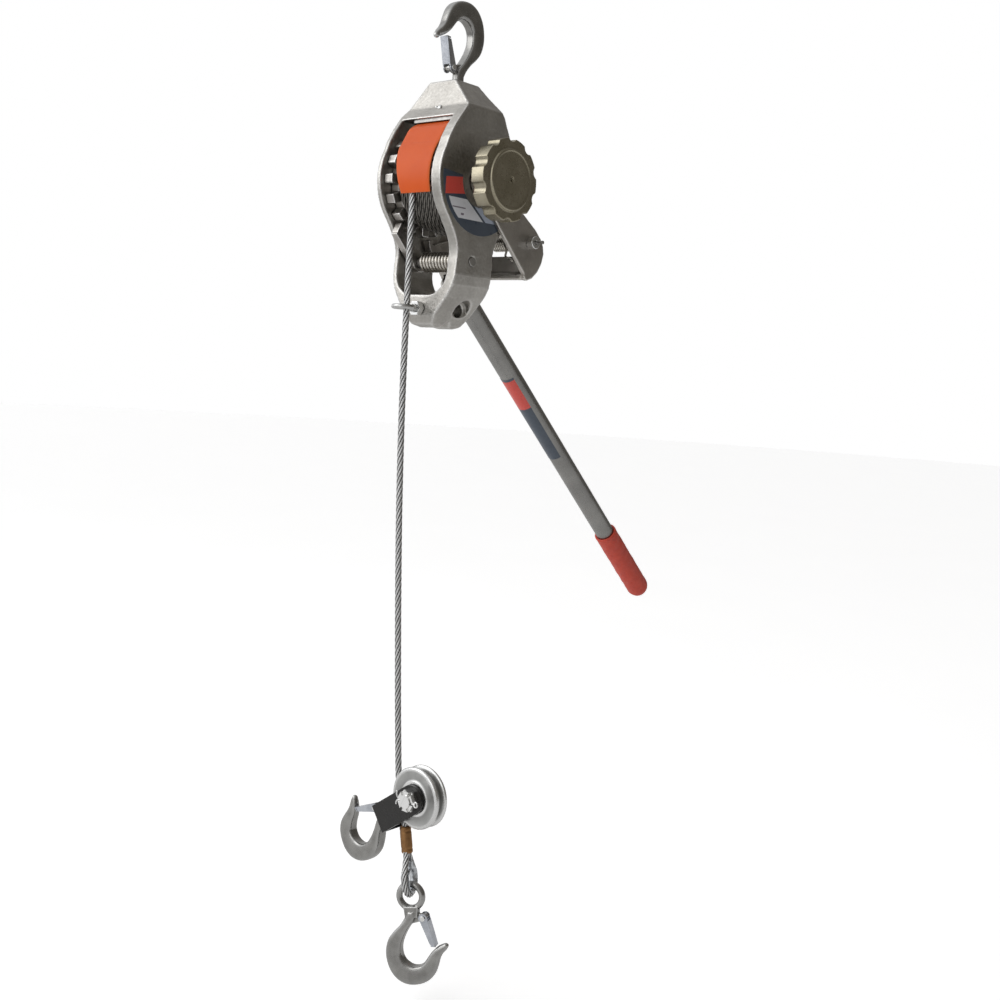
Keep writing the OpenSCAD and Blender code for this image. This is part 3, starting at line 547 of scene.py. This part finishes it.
def mesh_of(name, shell, m=DRUM):
    verts, faces = shell
    mesh = bpy.data.meshes.new(name)
    mesh.from_pydata(moved(verts, m).tolist(), [], faces)
    mesh.validate()
    bm = bmesh.new()
    bm.from_mesh(mesh)
    bmesh.ops.recalc_face_normals(bm, faces=bm.faces)
    bm.to_mesh(mesh)
    bm.free()
    return mesh


def cad_mesh(node):
    """A welded copy of a CAD node's mesh."""
    mesh = frame["nodes"][node].data.copy()
    bm = bmesh.new()
    bm.from_mesh(mesh)
    bmesh.ops.remove_doubles(bm, verts=bm.verts, dist=2e-6)
    bmesh.ops.dissolve_limit(bm, angle_limit=math.radians(0.6), verts=bm.verts, edges=bm.edges)
    bm.to_mesh(mesh)
    bm.free()
    return mesh


def combined(name, meshes):
    bm = bmesh.new()
    for mesh in meshes:
        bm.from_mesh(mesh)
    out = bpy.data.meshes.new(name)
    bm.to_mesh(out)
    bm.free()
    return out


def applied(ob):
    """Bakes the object's modifiers into its mesh."""
    bpy.context.view_layer.update()
    made = bpy.data.meshes.new_from_object(ob.evaluated_get(bpy.context.evaluated_depsgraph_get()))
    ob.modifiers.clear()
    ob.data = made
    return ob


def piece(name, mesh, node=None, look=None, body=None, slot=None):
    """Puts a mesh in the scene: it rides on node's body, takes its finish and stands for it."""
    ob = bpy.data.objects.new(name, mesh)
    bpy.context.scene.collection.objects.link(ob)
    slot = slot or SLOT_OF[node]
    mesh.materials.clear()
    mesh.materials.append(look or LOOKS[slot])
    mesh.polygons.foreach_set("material_index", [0] * len(mesh.polygons))
    mesh.polygons.foreach_set("use_smooth", [True] * len(mesh.polygons))
    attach(ob, body or BODY_OF[node])
    if node:
        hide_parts(node)
    return ob


def cast(name, meshes, voxel, rounds, node, grain=0.0, grain_mm=5.0):
    """Melts meshes into one skin with soft edges and, if asked, an uneven surface."""
    ob = bpy.data.objects.new(name, combined(name, meshes))
    bpy.context.scene.collection.objects.link(ob)
    remesh = ob.modifiers.new("skin", "REMESH")
    remesh.mode, remesh.voxel_size, remesh.use_smooth_shade = "VOXEL", voxel * MM * 1, True
    soft = ob.modifiers.new("soft", "SMOOTH")
    soft.factor, soft.iterations = 0.5, rounds
    if grain:
        clouds = bpy.data.textures.new(name + "_grain", "CLOUDS")
        clouds.noise_scale, clouds.noise_depth = grain_mm * MM, 2
        push = ob.modifiers.new("grain", "DISPLACE")
        push.texture, push.strength, push.mid_level = clouds, grain * MM, 0.5
        push.texture_coords = "LOCAL"
    mesh = applied(ob).data
    bpy.data.objects.remove(ob)
    return piece(name, mesh, node)


def trimmed(name, node, width, segments=2):
    """A machined part: its CAD mesh with small rounded edges."""
    ob = bpy.data.objects.new(name, cad_mesh(node))
    bpy.context.scene.collection.objects.link(ob)
    bevel = ob.modifiers.new("edges", "BEVEL")
    bevel.width, bevel.segments, bevel.limit_method = width * MM, segments, "ANGLE"
    bevel.angle_limit, bevel.harden_normals, bevel.use_clamp_overlap = math.radians(32), False, True
    for f in ob.data.polygons:
        f.use_smooth = True
    ob.modifiers.new("even", "WEIGHTED_NORMAL").keep_sharp = True
    made = applied(ob).data
    bpy.data.objects.remove(ob)
    return piece(name, made, node)


# ---------------------------------------------------------------- wire rope
STRANDS = 6
ROPE_PITCH = 40 * MM  # one turn of a strand


def strand_outline(points_each=6):
    """Angles and relative radii of a six-strand rope's outline."""
    n = STRANDS * points_each
    angle = np.linspace(0, 2 * math.pi, n, endpoint=False)
    off = (angle + math.pi / STRANDS) % (2 * math.pi / STRANDS) - math.pi / STRANDS
    centre, strand = 0.64, 0.36
    radius = centre * np.cos(off) + np.sqrt(np.maximum(strand**2 - (centre * np.sin(off)) ** 2, 0))
    return angle, radius


def rope(name, path, diameter, node, step=1.3, start=0.0, points_each=6, first=(1, 0, 0), **more):
    """A six-strand rope laid along a path in metres, right-hand lay; start is how far along the strands begin."""
    path, run = even(path, step)
    angle, radius = strand_outline(points_each)
    a, b = sides(path, first)
    turn = 2 * math.pi * (run + start)[:, None] / ROPE_PITCH + angle[None]
    r = radius[None] * diameter / 2
    rings = path[:, None] + (r * np.cos(turn))[..., None] * a[:, None] + (r * np.sin(turn))[..., None] * b[:, None]
    verts, faces = loft(rings)
    mesh = bpy.data.meshes.new(name)
    mesh.from_pydata(verts.tolist(), [], faces)
    low, high = radius.min(), radius.max()
    # how deep each point lies between the strands; the rope look darkens it there as painted shade
    groove_shade = np.broadcast_to((high - radius) / (high - low), rings.shape[:2]).ravel()
    mesh.attributes.new("groove_shade", "FLOAT", "POINT").data.foreach_set("value", groove_shade.astype(np.float32))
    loops = np.zeros(len(mesh.loops), np.int32)
    mesh.loops.foreach_get("vertex_index", loops)
    n, m = rings.shape[:2]
    uv = np.stack([(run / diameter)[loops // m], (loops % m) / m * STRANDS], 1)
    mesh.uv_layers.new(name="rope").data.foreach_set("uv", uv.astype(np.float32).ravel())
    return piece(name, mesh, node, **more)


def drum_points(points):
    return moved(points, DRUM)


FREE_ROUTE = [(0, -46.5, FREE_TOP), (0, -46.5, -150), (0.5, -46.5, -190), (1.4, -46.5, -230), (2.8, -46.5, -270),
              (4.6, -46.5, -310), (6.8, -46.5, -350), (9.4, -46.5, -390), (12.2, -46.5, -430), (15.2, -46.5, -470),
              (18.3, -46.5, -510), (21.4, -46.5, -545), (24.7, -46.5, -578), (28.8, -46.5, -596), (33.4, -46.5, -610),
              (37, -46.5, -622), (41.9, -46.5, -647)]


def make_free_rope():
    path = drum_points(spline(FREE_ROUTE, 6))
    ob = rope("rope_hanging", path, ROPE_D * MM, "rope_free", step=1.2 * MM)
    top, foot = path[0], path[-1]
    tuple(top)
    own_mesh(ob)
    length = float(np.linalg.norm(np.diff(path, axis=0), axis=1).sum())
    return ob, path, length


hanging_rope, hanging_path, hanging_length = make_free_rope()


def make_taut_rope():
    """From the drum's front straight down through the eyebolt."""
    foot, head = FREE_TOP, 3
    path = drum_points([(0, -LAY_R, head), (0, -LAY_R, foot)])
    rope("rope_taut", path, ROPE_D * MM, "rope_upper", step=1.2 * MM, start=-(head - foot) * MM)


make_taut_rope()


def make_wound_rope():
    """Two lays on the drum: a full lower one, and the upper one up to a turn past where the rope leaves."""
    gap = ROPE_D + 0.12
    low_r = CORE_R + ROPE_D / 2
    left, right = -21.6, 23.8
    turns = (right - left) / gap
    t = np.linspace(0, turns * 2 * math.pi, int(turns * 40))
    lower = np.stack([left + gap * t / (2 * math.pi), -low_r * np.cos(t), -low_r * np.sin(t)], 1)
    end = t[-1]
    up = np.linspace(0, 1, 30)[1:]
    climb_turn = 0.75 * 2 * math.pi
    climb_r = low_r + (LAY_R - low_r) * (3 * up**2 - 2 * up**3)
    climb_a = end + up * climb_turn
    climb = np.stack([np.full(len(up), right), -climb_r * np.cos(climb_a), -climb_r * np.sin(climb_a)], 1)
    # the upper lay's phase puts it at the front of the drum, at x = 0, where the rope leaves
    a0 = climb_a[-1]
    front = math.ceil((a0 + 2 * math.pi * right / gap) / (2 * math.pi)) * 2 * math.pi
    stop = front + 2 * math.pi
    u = np.arange(a0, stop, math.radians(8))[1:]
    x = right - right * (u - a0) / (front - a0)
    upper = np.stack([x, -LAY_R * np.cos(u), -LAY_R * np.sin(u)], 1)
    path = drum_points(np.vstack([lower, climb, upper]))
    # a darker copy of the rope look for the turns on the drum: grease, and painted shade inside the frame
    greased_shaded = rope_look("rope_greased_shaded", (0.12, 0.11, 0.1), (0.3, 0.285, 0.26))
    return rope("rope_wound", path, ROPE_D * MM, "rope_on_drum", step=2.0 * MM, points_each=4, look=greased_shaded)


make_wound_rope()

LOOP = dict(bow_z=-674.6, bow_r=8.6, sheet=1.6)
LOOP_R = LOOP["bow_r"] + LOOP["sheet"] + ROPE_D / 2
LOOP_TOP = FERRULE_TOP - FERRULE_LEN


def teardrop(r, top, pinch, shoulder):
    """The eye's line in local x, y: down one leg, round the bow and up the other."""
    bow = arc(0, LOOP["bow_z"], r, 180, 360, 19)
    left = [(-pinch, top), (-pinch, top - 2), (-pinch - 1.2, top - 7), (-r + shoulder, LOOP["bow_z"] + 7)]
    right = [(-x, y) for x, y in reversed(left)]
    return left + bow + right


def make_rope_end():
    line = spline([(x, y, 0) for x, y in teardrop(LOOP_R, LOOP_TOP + 2, 3.3, 0.8)], 5)
    rope("rope_eye_loop", moved(line, ROPE_EYE), (ROPE_D - 0.2) * MM, "rope_eye", step=1.0 * MM, first=(0, 0, 1))
    # thimble: a sheet channel that cups the rope
    inner = [(x, y, 0) for x, y in teardrop(LOOP["bow_r"] + 0.9, LOOP_TOP - 8, 0.9, 0.6)]
    line = even(spline(inner, 5), 0.8)[0]
    cup = [(math.cos(a), math.sin(a)) for a in np.radians(np.linspace(-74, 74, 13))]
    back, front = ROPE_D / 2 + 1.3, ROPE_D / 2 + 0.35
    section = [(back * y, -(back * x - back + 1.1)) for x, y in cup]
    section += [(front * y, -(front * x - back + 1.1)) for x, y in reversed(cup)]
    shell = swept(line, section, first=(0, 0, 1))
    piece("thimble_channel", mesh_of("thimble", shell, ROPE_EYE), "thimble")
    # ferrule: a pressed sleeve with shallow flats and rolled ends
    rows = []
    for s in np.linspace(0, 1, 60):
        h = FERRULE_TOP - FERRULE_LEN * s
        end = min(s, 1 - s) * FERRULE_LEN
        r = 5.55 - 0.8 * math.exp(-end / 0.7) - 0.28 * math.exp(-((end - 4.5) / 1.1) ** 2)
        wide, deep = r * 0.035, r * 0.03
        rows.append([((r + wide * math.cos(2 * a)) * math.cos(a), (r - deep * math.cos(2 * a)) * math.sin(a), h)
                     for a in np.linspace(0, 2 * math.pi, 48, endpoint=False)])
    v, f = loft(rows)
    at_end = place(end_point(0), END_SIDE, END_ACROSS, END_AXES[2])
    piece("ferrule_sleeve", mesh_of("ferrule", (v, f), at_end), "ferrule")


make_rope_end()


# ---------------------------------------------------------------- load hooks
# Outer and inner edge of the hook in its own mm: [0, 0] is the bearing point, +y the shank, the tip towards +x
HOOK_OUTER = [(-5.5, 52), (-7.6, 46.5), (-12.5, 39.8), (-19.4, 33.6), (-25.8, 26), (-29.1, 16), (-29, 6),
              (-25.8, -4.5), (-19, -13), (-9.5, -17.5), (1.5, -17.6), (11.4, -14.4), (18.2, -8.6), (22.2, -0.8),
              (25.2, 7), (28.8, 12.2), (32, 15), (34, 17.6)]
HOOK_INNER = [(5.5, 52), (3.5, 46), (-0.4, 41), (-4.7, 35.4), (-9.3, 28), (-12.8, 19.4), (-13.1, 11.4), (-10.6, 5.4),
              (-6.4, 1.8), (-2.6, 0.2), (1.5, 0), (5.6, 1), (9.4, 3.9), (12.8, 7.8), (16.4, 12.4), (21, 16.7),
              (25.8, 19.8), (29.6, 21.4)]
HOOK_HALF = [5.5, 5.8, 6.1, 6.3, 6.3, 6.3, 6.3, 6.3, 6.3, 6.3, 6.3, 6.2, 6.0, 5.6, 5.1, 4.5, 3.8, 3.1]
HOOK_SQUARE = 4.2  # how boxy the forging's section is: 2 is round


def hook_shell():
    outer, inner = spline(HOOK_OUTER, 8), spline(HOOK_INNER, 8)
    half = spline([(h, 0) for h in HOOK_HALF], 8)[:, 0]
    a = np.linspace(0, 2 * math.pi, 40, endpoint=False)
    blend = np.linspace(0, 1, len(half))
    rings = []
    for o, i, t, b in zip(outer, inner, half, blend):
        power = 2 / (2 + (HOOK_SQUARE - 2) * min(1, b * 8) * min(1, (1 - b) * 5))
        c, s = np.cos(a), np.sin(a)
        u = np.sign(c) * np.abs(c) ** power
        w = np.sign(s) * np.abs(s) ** power
        mid, reach = (o + i) / 2, (o - i) / 2
        rings.append([(*(mid + reach * x), t * y) for x, y in zip(u, w)])
    mid, reach = (outer[-1] + inner[-1]) / 2, (outer[-1] - inner[-1]) / 2
    on = unit(mid - (outer[-4] + inner[-4]) / 2)
    for step, size in ((0.9, 0.94), (1.8, 0.76), (2.5, 0.45)):
        rings.append([(*(mid + on * step + reach * x * size), half[-1] * y * size)
                      for x, y in zip(np.cos(a), np.sin(a))])
    return loft(rings)


def hook_ear():
    """The lug that carries the latch pin."""
    outline = [(0, 40.8), (10.5, 43.2)] + arc(12, 46.5, 3.3, -62, 62, 9) + [(10.5, 49.8), (0, 52)]
    return slab(outline, -2, 2)


def make_hook(name, node, m, extras, nib=False):
    shells = [hook_shell(), hook_ear(), *extras]
    if nib:
        shells.append(ball((32.6, 20.6, 0), 3.0))
    meshes = [mesh_of(name, s, m) for s in shells]
    return cast(name, meshes, 0.55, 3, node, grain=0.08, grain_mm=9)


def upright(shell):
    """Turns a shell made about local z so that it stands along local y."""
    v, f = shell
    return np.stack([v[:, 0], v[:, 2], -v[:, 1]], 1), f


def shank(low, high, r=5.5):
    return upright(lathe([(r - 0.6, low), (r, low + 0.6), (r, high - 0.6), (r - 0.6, high)], 40))


def eye_ring():
    ring = [(11.7 * math.cos(a), 67 + 11.7 * math.sin(a), 0) for a in np.linspace(0, 2 * math.pi, 72, endpoint=False)]
    section = circle(1, 24) * (3.55, 3.2)
    collar = slab([(-6.4, 47), (6.4, 47), (7.6, 57.6), (-7.6, 57.6)], -4.2, 4.2)
    return [swept(ring, section, first=(0, 0, 1), closed=True), collar]


def latch_wires(name, node, m):
    """The latch's torsion spring: a few turns each side of the ear, and a leg down the latch."""
    shells = []
    for side in (-1, 1):
        t = np.linspace(0, 2.2 * 2 * math.pi, 60)
        z = side * (2.25 + 1.1 * t / t[-1])
        coil = np.stack([12 + 2.35 * np.cos(t), 46.5 + 2.35 * np.sin(t) * side, z], 1)
        leg = [coil[-1] + (0.5, -1.6, 0), coil[-1] + (0.6, -3.6, 0)]
        shells.append(wire(np.vstack([coil, leg]), 0.48, 10))
    piece(name, mesh_of(name, joined(*shells), m), node)


def make_hooks():
    make_hook("top_hook_forging", "top_hook", TOP_HOOK, [shank(50, 84)], nib=True)
    make_hook("end_hook_forging", "end_hook", END_HOOK, eye_ring())
    make_hook("block_hook_forging", "block_hook", BLOCK_HOOK, [shank(50, 59)])
    for which, m in (("top", TOP_HOOK), ("end", END_HOOK), ("block", BLOCK_HOOK)):
        latch_wires(which + "_latch_wires", which + "_latch_spring", m)
        trimmed(which + "_latch_channel", which + "_latch", 0.4)
        trimmed(which + "_latch_rivet", which + "_latch_pin", 0.45)


make_hooks()


# ---------------------------------------------------------------- frame and drum
def make_frame():
    cast("frame_casting", [cad_mesh("frame")], 1.02, 4, "frame", grain=0.34, grain_mm=2.8)
    for node, width in (("thrust_washer", 0.3), ("hook_nut", 0.6), ("bush_left", 0.3), ("bush_right", 0.3),
                        ("eyebolt_nut", 0.5), ("guard_screws", 0.5), ("holding_pawl_pin", 0.7), ("pawl_spacer", 0.3)):
        trimmed(node + "_part", node, width)
    trimmed("guard_bracket_strip", "guard_bracket", 0.6)
    head = [(0.01, 1.5), (1.2, 1.45), (2.1, 1.1), (2.5, 0.5), (2.5, -1.2)]
    front = place((5, -21.9, 68.2), (1, 0, 0), (0, 0.53, 0.848), (0, -0.848, 0.53))
    stem = mesh_of("stem", lathe(head, 40), front)
    slot = mesh_of("rivet", ball((-4.6, 0.6, -0.2), 1.5), front)
    piece("crosshead_screw", combined("crosshead_screw", [stem, slot]), body="frame", slot="bright_steel")
    cast("eyebolt_forging", [cad_mesh("eyebolt")], 0.4, 4, "eyebolt")


def make_guard():
    """The keeper strip: one curved sheet with rounded edges, from the crosshead down the front of the drum."""
    bend, r, t = 144, 53.3, 0.7
    line = [(-6, 54.1), (-14, 54.1), (-22, 53.9), (-28, 51.2), (-34, 46.2)]
    line += arc(0, 0, r, bend - 2, 197, 26)
    line = even(spline([(0, y, z) for y, z in line], 4), 1.0)[0]
    x1, n = 27.0, 40
    _, out = sides(line, (1, 0, 0))
    rings = []
    for k, p in enumerate(line):
        x0 = -23 + 13.5 * max(0, min(1, (29 - p[2]) / 50))
        xs = np.linspace(x0, x1, n)
        row_out = [p + (x, 0, 0) + out[k] * t * (1 - 0.75 * (abs(2 * (x - x0) / (x1 - x0) - 1) ** 24)) for x in xs]
        row_in = [p + (x, 0, 0) - out[k] * t for x in reversed(xs)]
        rings.append(row_out + row_in)
    piece("guard_strip", mesh_of("guard", loft(rings)), "rope_guard")


def make_drum():
    cast("ratchet_casting", [cad_mesh("ratchet_wheel")], 0.6, 4, "ratchet_wheel", grain=0.2, grain_mm=5)
    for node, width in (("drum", 0.8), ("drum_shaft", 0.6), ("shaft_ring", 0.5), ("ratchet_rivets", 0.5),
                        ("handwheel_screw", 0.5)):
        trimmed(node + "_part", node, width)
    ring = [(81.1, 27 * math.cos(a), 27 * math.sin(a)) for a in np.linspace(0, 2 * math.pi, 120, endpoint=False)]
    rim = swept(ring, circle(1.5, 12), first=(1, 0, 0), closed=True)
    cast("handwheel_casting", [cad_mesh("handwheel"), mesh_of("rim", rim)], 0.5, 4, "handwheel")


def make_pawls():
    for node in ("holding_pawl", "drive_pawl"):
        cast(node + "_forging", [cad_mesh(node)], 0.5, 3, node, grain=0.1, grain_mm=4)


make_frame()
make_guard()
make_drum()
make_pawls()


# ---------------------------------------------------------------- springs
def coil(r, pitch, turns, x0, per_turn=36, start=0.0):
    t = np.linspace(0, turns * 2 * math.pi, int(turns * per_turn)) + start
    return np.stack([x0 + pitch * (t - start) / (2 * math.pi), r * np.cos(t), r * np.sin(t)], 1)


def make_springs():
    y, z = -4, -75
    turns = coil(8.4, 4.1, 11, -21, start=-1.2)
    lead = [turns[0] + (-0.2, 2, 7), turns[0] + (-0.1, 0.9, 3)]
    tail = [turns[-1] + (0.3, 1.5, 3), turns[-1] + (0.6, 3.5, 7)]
    shell = wire(np.vstack([spline([*lead, turns[0]], 4)[:-1], turns, tail]) + (0, y, z), 1.55, 16)
    piece("holding_spring_wire", mesh_of("holding_spring", shell), "holding_pawl_spring")
    y, z = 73, -48
    turns = coil(7.4, 2.6, 6, 3.5, start=-1.9)
    end = turns[-1]
    leg = spline([end, end + (1.5, -1.5, -2.2), (22, -6.2, -13.5), (27, -6.3, -16), (31.5, -6.3, -18.2)], 6)
    shell = wire(np.vstack([turns, leg[1:]]) + (0, y, z), 1.1, 14)
    piece("drive_spring_wire", mesh_of("drive_spring", shell), "drive_pawl_spring")


make_springs()


# ---------------------------------------------------------------- handle
def make_handle():
    cast("yoke_casting", [cad_mesh("handle_yoke")], 0.8, 5, "handle_yoke", grain=0.25, grain_mm=6)
    for node, width in (("drive_pawl_pin", 0.5), ("drive_pawl_nut", 0.8), ("drive_pawl_spacer", 0.3),
                        ("handle_rivets", 0.9)):
        trimmed(node + "_part", node, width, segments=3)
    wall = 1.7
    inside = TUBE_LEN - 6  # the tube ends inside the domed end of the grip
    tube = lathe([(TUBE_R - 0.3, 0), (TUBE_R, 0.3), *[(TUBE_R, h) for h in np.linspace(10, inside - 1, 30)],
                  (TUBE_R, inside), (TUBE_R - wall, inside), (TUBE_R - wall, 0)], 96, closed=True)
    piece("handle_tube_drawn", mesh_of("tube", tube, TUBE), "handle_tube")
    # dipped grip: uneven along its length, a rolled lip at the open end and a domed closed end
    rows = [(TUBE_R + 0.02, TUBE_LEN - GRIP_LEN + 14), (TUBE_R + 0.3, TUBE_LEN - GRIP_LEN + 12.4),
            (GRIP_R - 1.2, TUBE_LEN - GRIP_LEN + 12), (GRIP_R - 0.2, TUBE_LEN - GRIP_LEN + 12.8),
            (GRIP_R, TUBE_LEN - GRIP_LEN + 14.4)]
    rows += [(GRIP_R - 0.25, h) for h in np.arange(TUBE_LEN - GRIP_LEN + 16.5, TUBE_LEN - 11, 1.0)]
    rows += [((GRIP_R - 0.2) * math.cos(a), TUBE_LEN - 10 + (GRIP_R - 0.2) * math.sin(a))
             for a in np.radians(np.linspace(2, 88, 20))]
    v, f = lathe(rows, 96)
    ang = np.arctan2(v[:, 1], v[:, 0])
    h = v[:, 2]
    open_end = np.clip((h - (TUBE_LEN - GRIP_LEN + 15)) / 8, 0, 1)
    ripple = 0.12 * np.sin(h / 4.1 + 2.2 * np.sin(ang * 2 + h / 17))
    ripple += 0.09 * np.sin(h / 2.3 + 3 * ang + np.sin(h / 9))
    keep = 1 + ripple * open_end / GRIP_R
    v[:, 0] *= keep
    v[:, 1] *= keep
    piece("handle_grip_dipped", mesh_of("grip", (v, f), TUBE), "handle_grip")


make_handle()


# ---------------------------------------------------------------- running block
def make_block():
    half = 8.5
    seat = arc(22 + ROPE_D / 2 + 0.3, 0, ROPE_D / 2 + 0.3, 270, 90, 15)
    front = [(9.5, -half), (16.6, -half), (17.4, -half + 0.3), (17.9, -half + 1.1), (18.6, -half + 1.5),
             (25.6, -half + 0.9), (27.2, -half + 0.5), (29.2, -half + 1.3), (30, -half + 2.4), (30, -5), (29.5, -4.3)]
    profile = front + seat + [(r, -h) for r, h in reversed(front)]
    piece("sheave_casting", mesh_of("sheave", lathe(profile, 128, closed=True), SHEAVE), "sheave")
    trimmed("block_strap_bent", "block_strap", 1.1, segments=3)
    for node, width in (("sheave_bush", 0.3), ("block_pin", 0.6), ("block_nut", 0.6), ("block_hook_collar", 0.4)):
        trimmed(node + "_part", node, width)
    # cotter pin: an eye, and two legs spread round the nut
    y = 18.8
    eye = [(u, v, y) for u, v in arc(12.6, 0, 2.4, 135, -135, 24)]
    upper = [(11, 0.55, y), (4, 0.45, y), (-8, 0.45, y), (-11, 1.6, y + 0.3), (-12.2, 4.6, y + 0.7),
             (-11.8, 7.4, y + 0.9)]
    lower = [(11, -0.55, y), (4, -0.45, y), (-8, -0.45, y), (-11, -1.4, y + 0.2), (-12.4, -3.4, y + 0.4),
             (-12.6, -5.4, y + 0.4)]
    line = spline([*reversed(upper), *eye, *lower], 4)
    piece("cotter_wire", mesh_of("cotter", wire(line, 0.85, 12, (0, 0, 1)), SHEAVE), "cotter_pin")


make_block()


def dress_cad_nodes():
    """CAD nodes that are shown as they are take the look of their material slot."""
    for node, ob in frame["nodes"].items():
        if ob.hide_render:
            continue
        look = handle_decal_look() if node == "handle_label" else LOOKS[SLOT_OF[node]]
        for s in ob.material_slots:
            s.material = look


dress_cad_nodes()

tuple(hanging_path[0])


# ---------------------------------------------------------------- studio
def make_floor():
    n = 96
    rings = [[(r * math.cos(a), r * math.sin(a), 0) for a in np.linspace(0, 2 * math.pi, n, endpoint=False)]
             for r in (0.001, 1, 4, 12)]
    verts, faces = loft(rings, caps=False)
    mesh = bpy.data.meshes.new("floor")
    mesh.from_pydata((verts + (0, 0, cad_box[0].z - 0.02)).tolist(), [], faces)
    ob = bpy.data.objects.new("floor", mesh)
    bpy.context.scene.collection.objects.link(ob)
    look = Look("floor", (0.9, 0.9, 0.9), 0.7, 0.0, Emission_Color=(1, 1, 1, 1))
    look.set("Base Color", look.mix(look.noise(300, 2), (0.88, 0.88, 0.88), (0.92, 0.92, 0.92)))
    seen = look.add("LightPath").outputs["Is Camera Ray"]
    look.set("Emission Strength", look.math("ADD", look.math("MULTIPLY", seen, 0.42), 0.03))
    mesh.materials.append(look.mat)


def make_world():
    world = bpy.data.worlds.new("studio")
    bpy.context.scene.world = world
    world.use_nodes = True
    tree = world.node_tree
    tree.nodes.clear()
    add = tree.nodes.new
    coords = add("ShaderNodeTexCoord").outputs["Generated"]
    toward = add("ShaderNodeVectorMath")
    toward.operation = "DOT_PRODUCT"
    toward.inputs[1].default_value = Vector((-0.78, -0.52, 0.34)).normalized()
    tree.links.new(coords, toward.inputs[0])
    half = add("ShaderNodeMath")
    half.operation = "MULTIPLY_ADD"
    half.inputs[1].default_value, half.inputs[2].default_value = 0.5, 0.5
    tree.links.new(toward.outputs["Value"], half.inputs[0])
    ramp = add("ShaderNodeValToRGB")
    for at, tone in ((0.3, (0.2, 0.19, 0.175)), (0.55, (0.36, 0.35, 0.34)), (0.8, (0.85, 0.86, 0.87))):
        e = ramp.color_ramp.elements.new(at)
        e.color = (*tone, 1)
    ramp.color_ramp.elements[0].color = (0.15, 0.14, 0.125, 1)
    ramp.color_ramp.elements[-1].color = (1.15, 1.16, 1.18, 1)
    tree.links.new(half.outputs[0], ramp.inputs[0])
    lit, seen = add("ShaderNodeBackground"), add("ShaderNodeBackground")
    tree.links.new(ramp.outputs[0], lit.inputs["Color"])
    seen.inputs["Color"].default_value = (1, 1, 1, 1)
    switch = add("ShaderNodeMixShader")
    tree.links.new(add("ShaderNodeLightPath").outputs["Is Camera Ray"], switch.inputs[0])
    tree.links.new(lit.outputs[0], switch.inputs[1])
    tree.links.new(seen.outputs[0], switch.inputs[2])
    tree.links.new(switch.outputs[0], add("ShaderNodeOutputWorld").inputs[0])


def area_light(name, at, aim, size, power, tone=(1, 1, 1)):
    data = bpy.data.lights.new(name, "AREA")
    data.shape, data.size, data.size_y = "RECTANGLE", size[0], size[1]
    data.energy, data.color = power, tone
    ob = bpy.data.objects.new(name, data)
    ob.location = at
    ob.rotation_euler = (Vector(aim) - Vector(at)).to_track_quat("-Z", "Y").to_euler()
    bpy.context.scene.collection.objects.link(ob)


make_floor()
make_world()
area_light("key", (-1.2, -1.5, 0.8), (0, 0, -0.35), (1.4, 1.7), 12)
area_light("front", (0.3, -1.9, 0.2), (0, 0, -0.4), (0.9, 1.6), 4)
bpy.context.scene.view_settings.view_transform = "Standard"
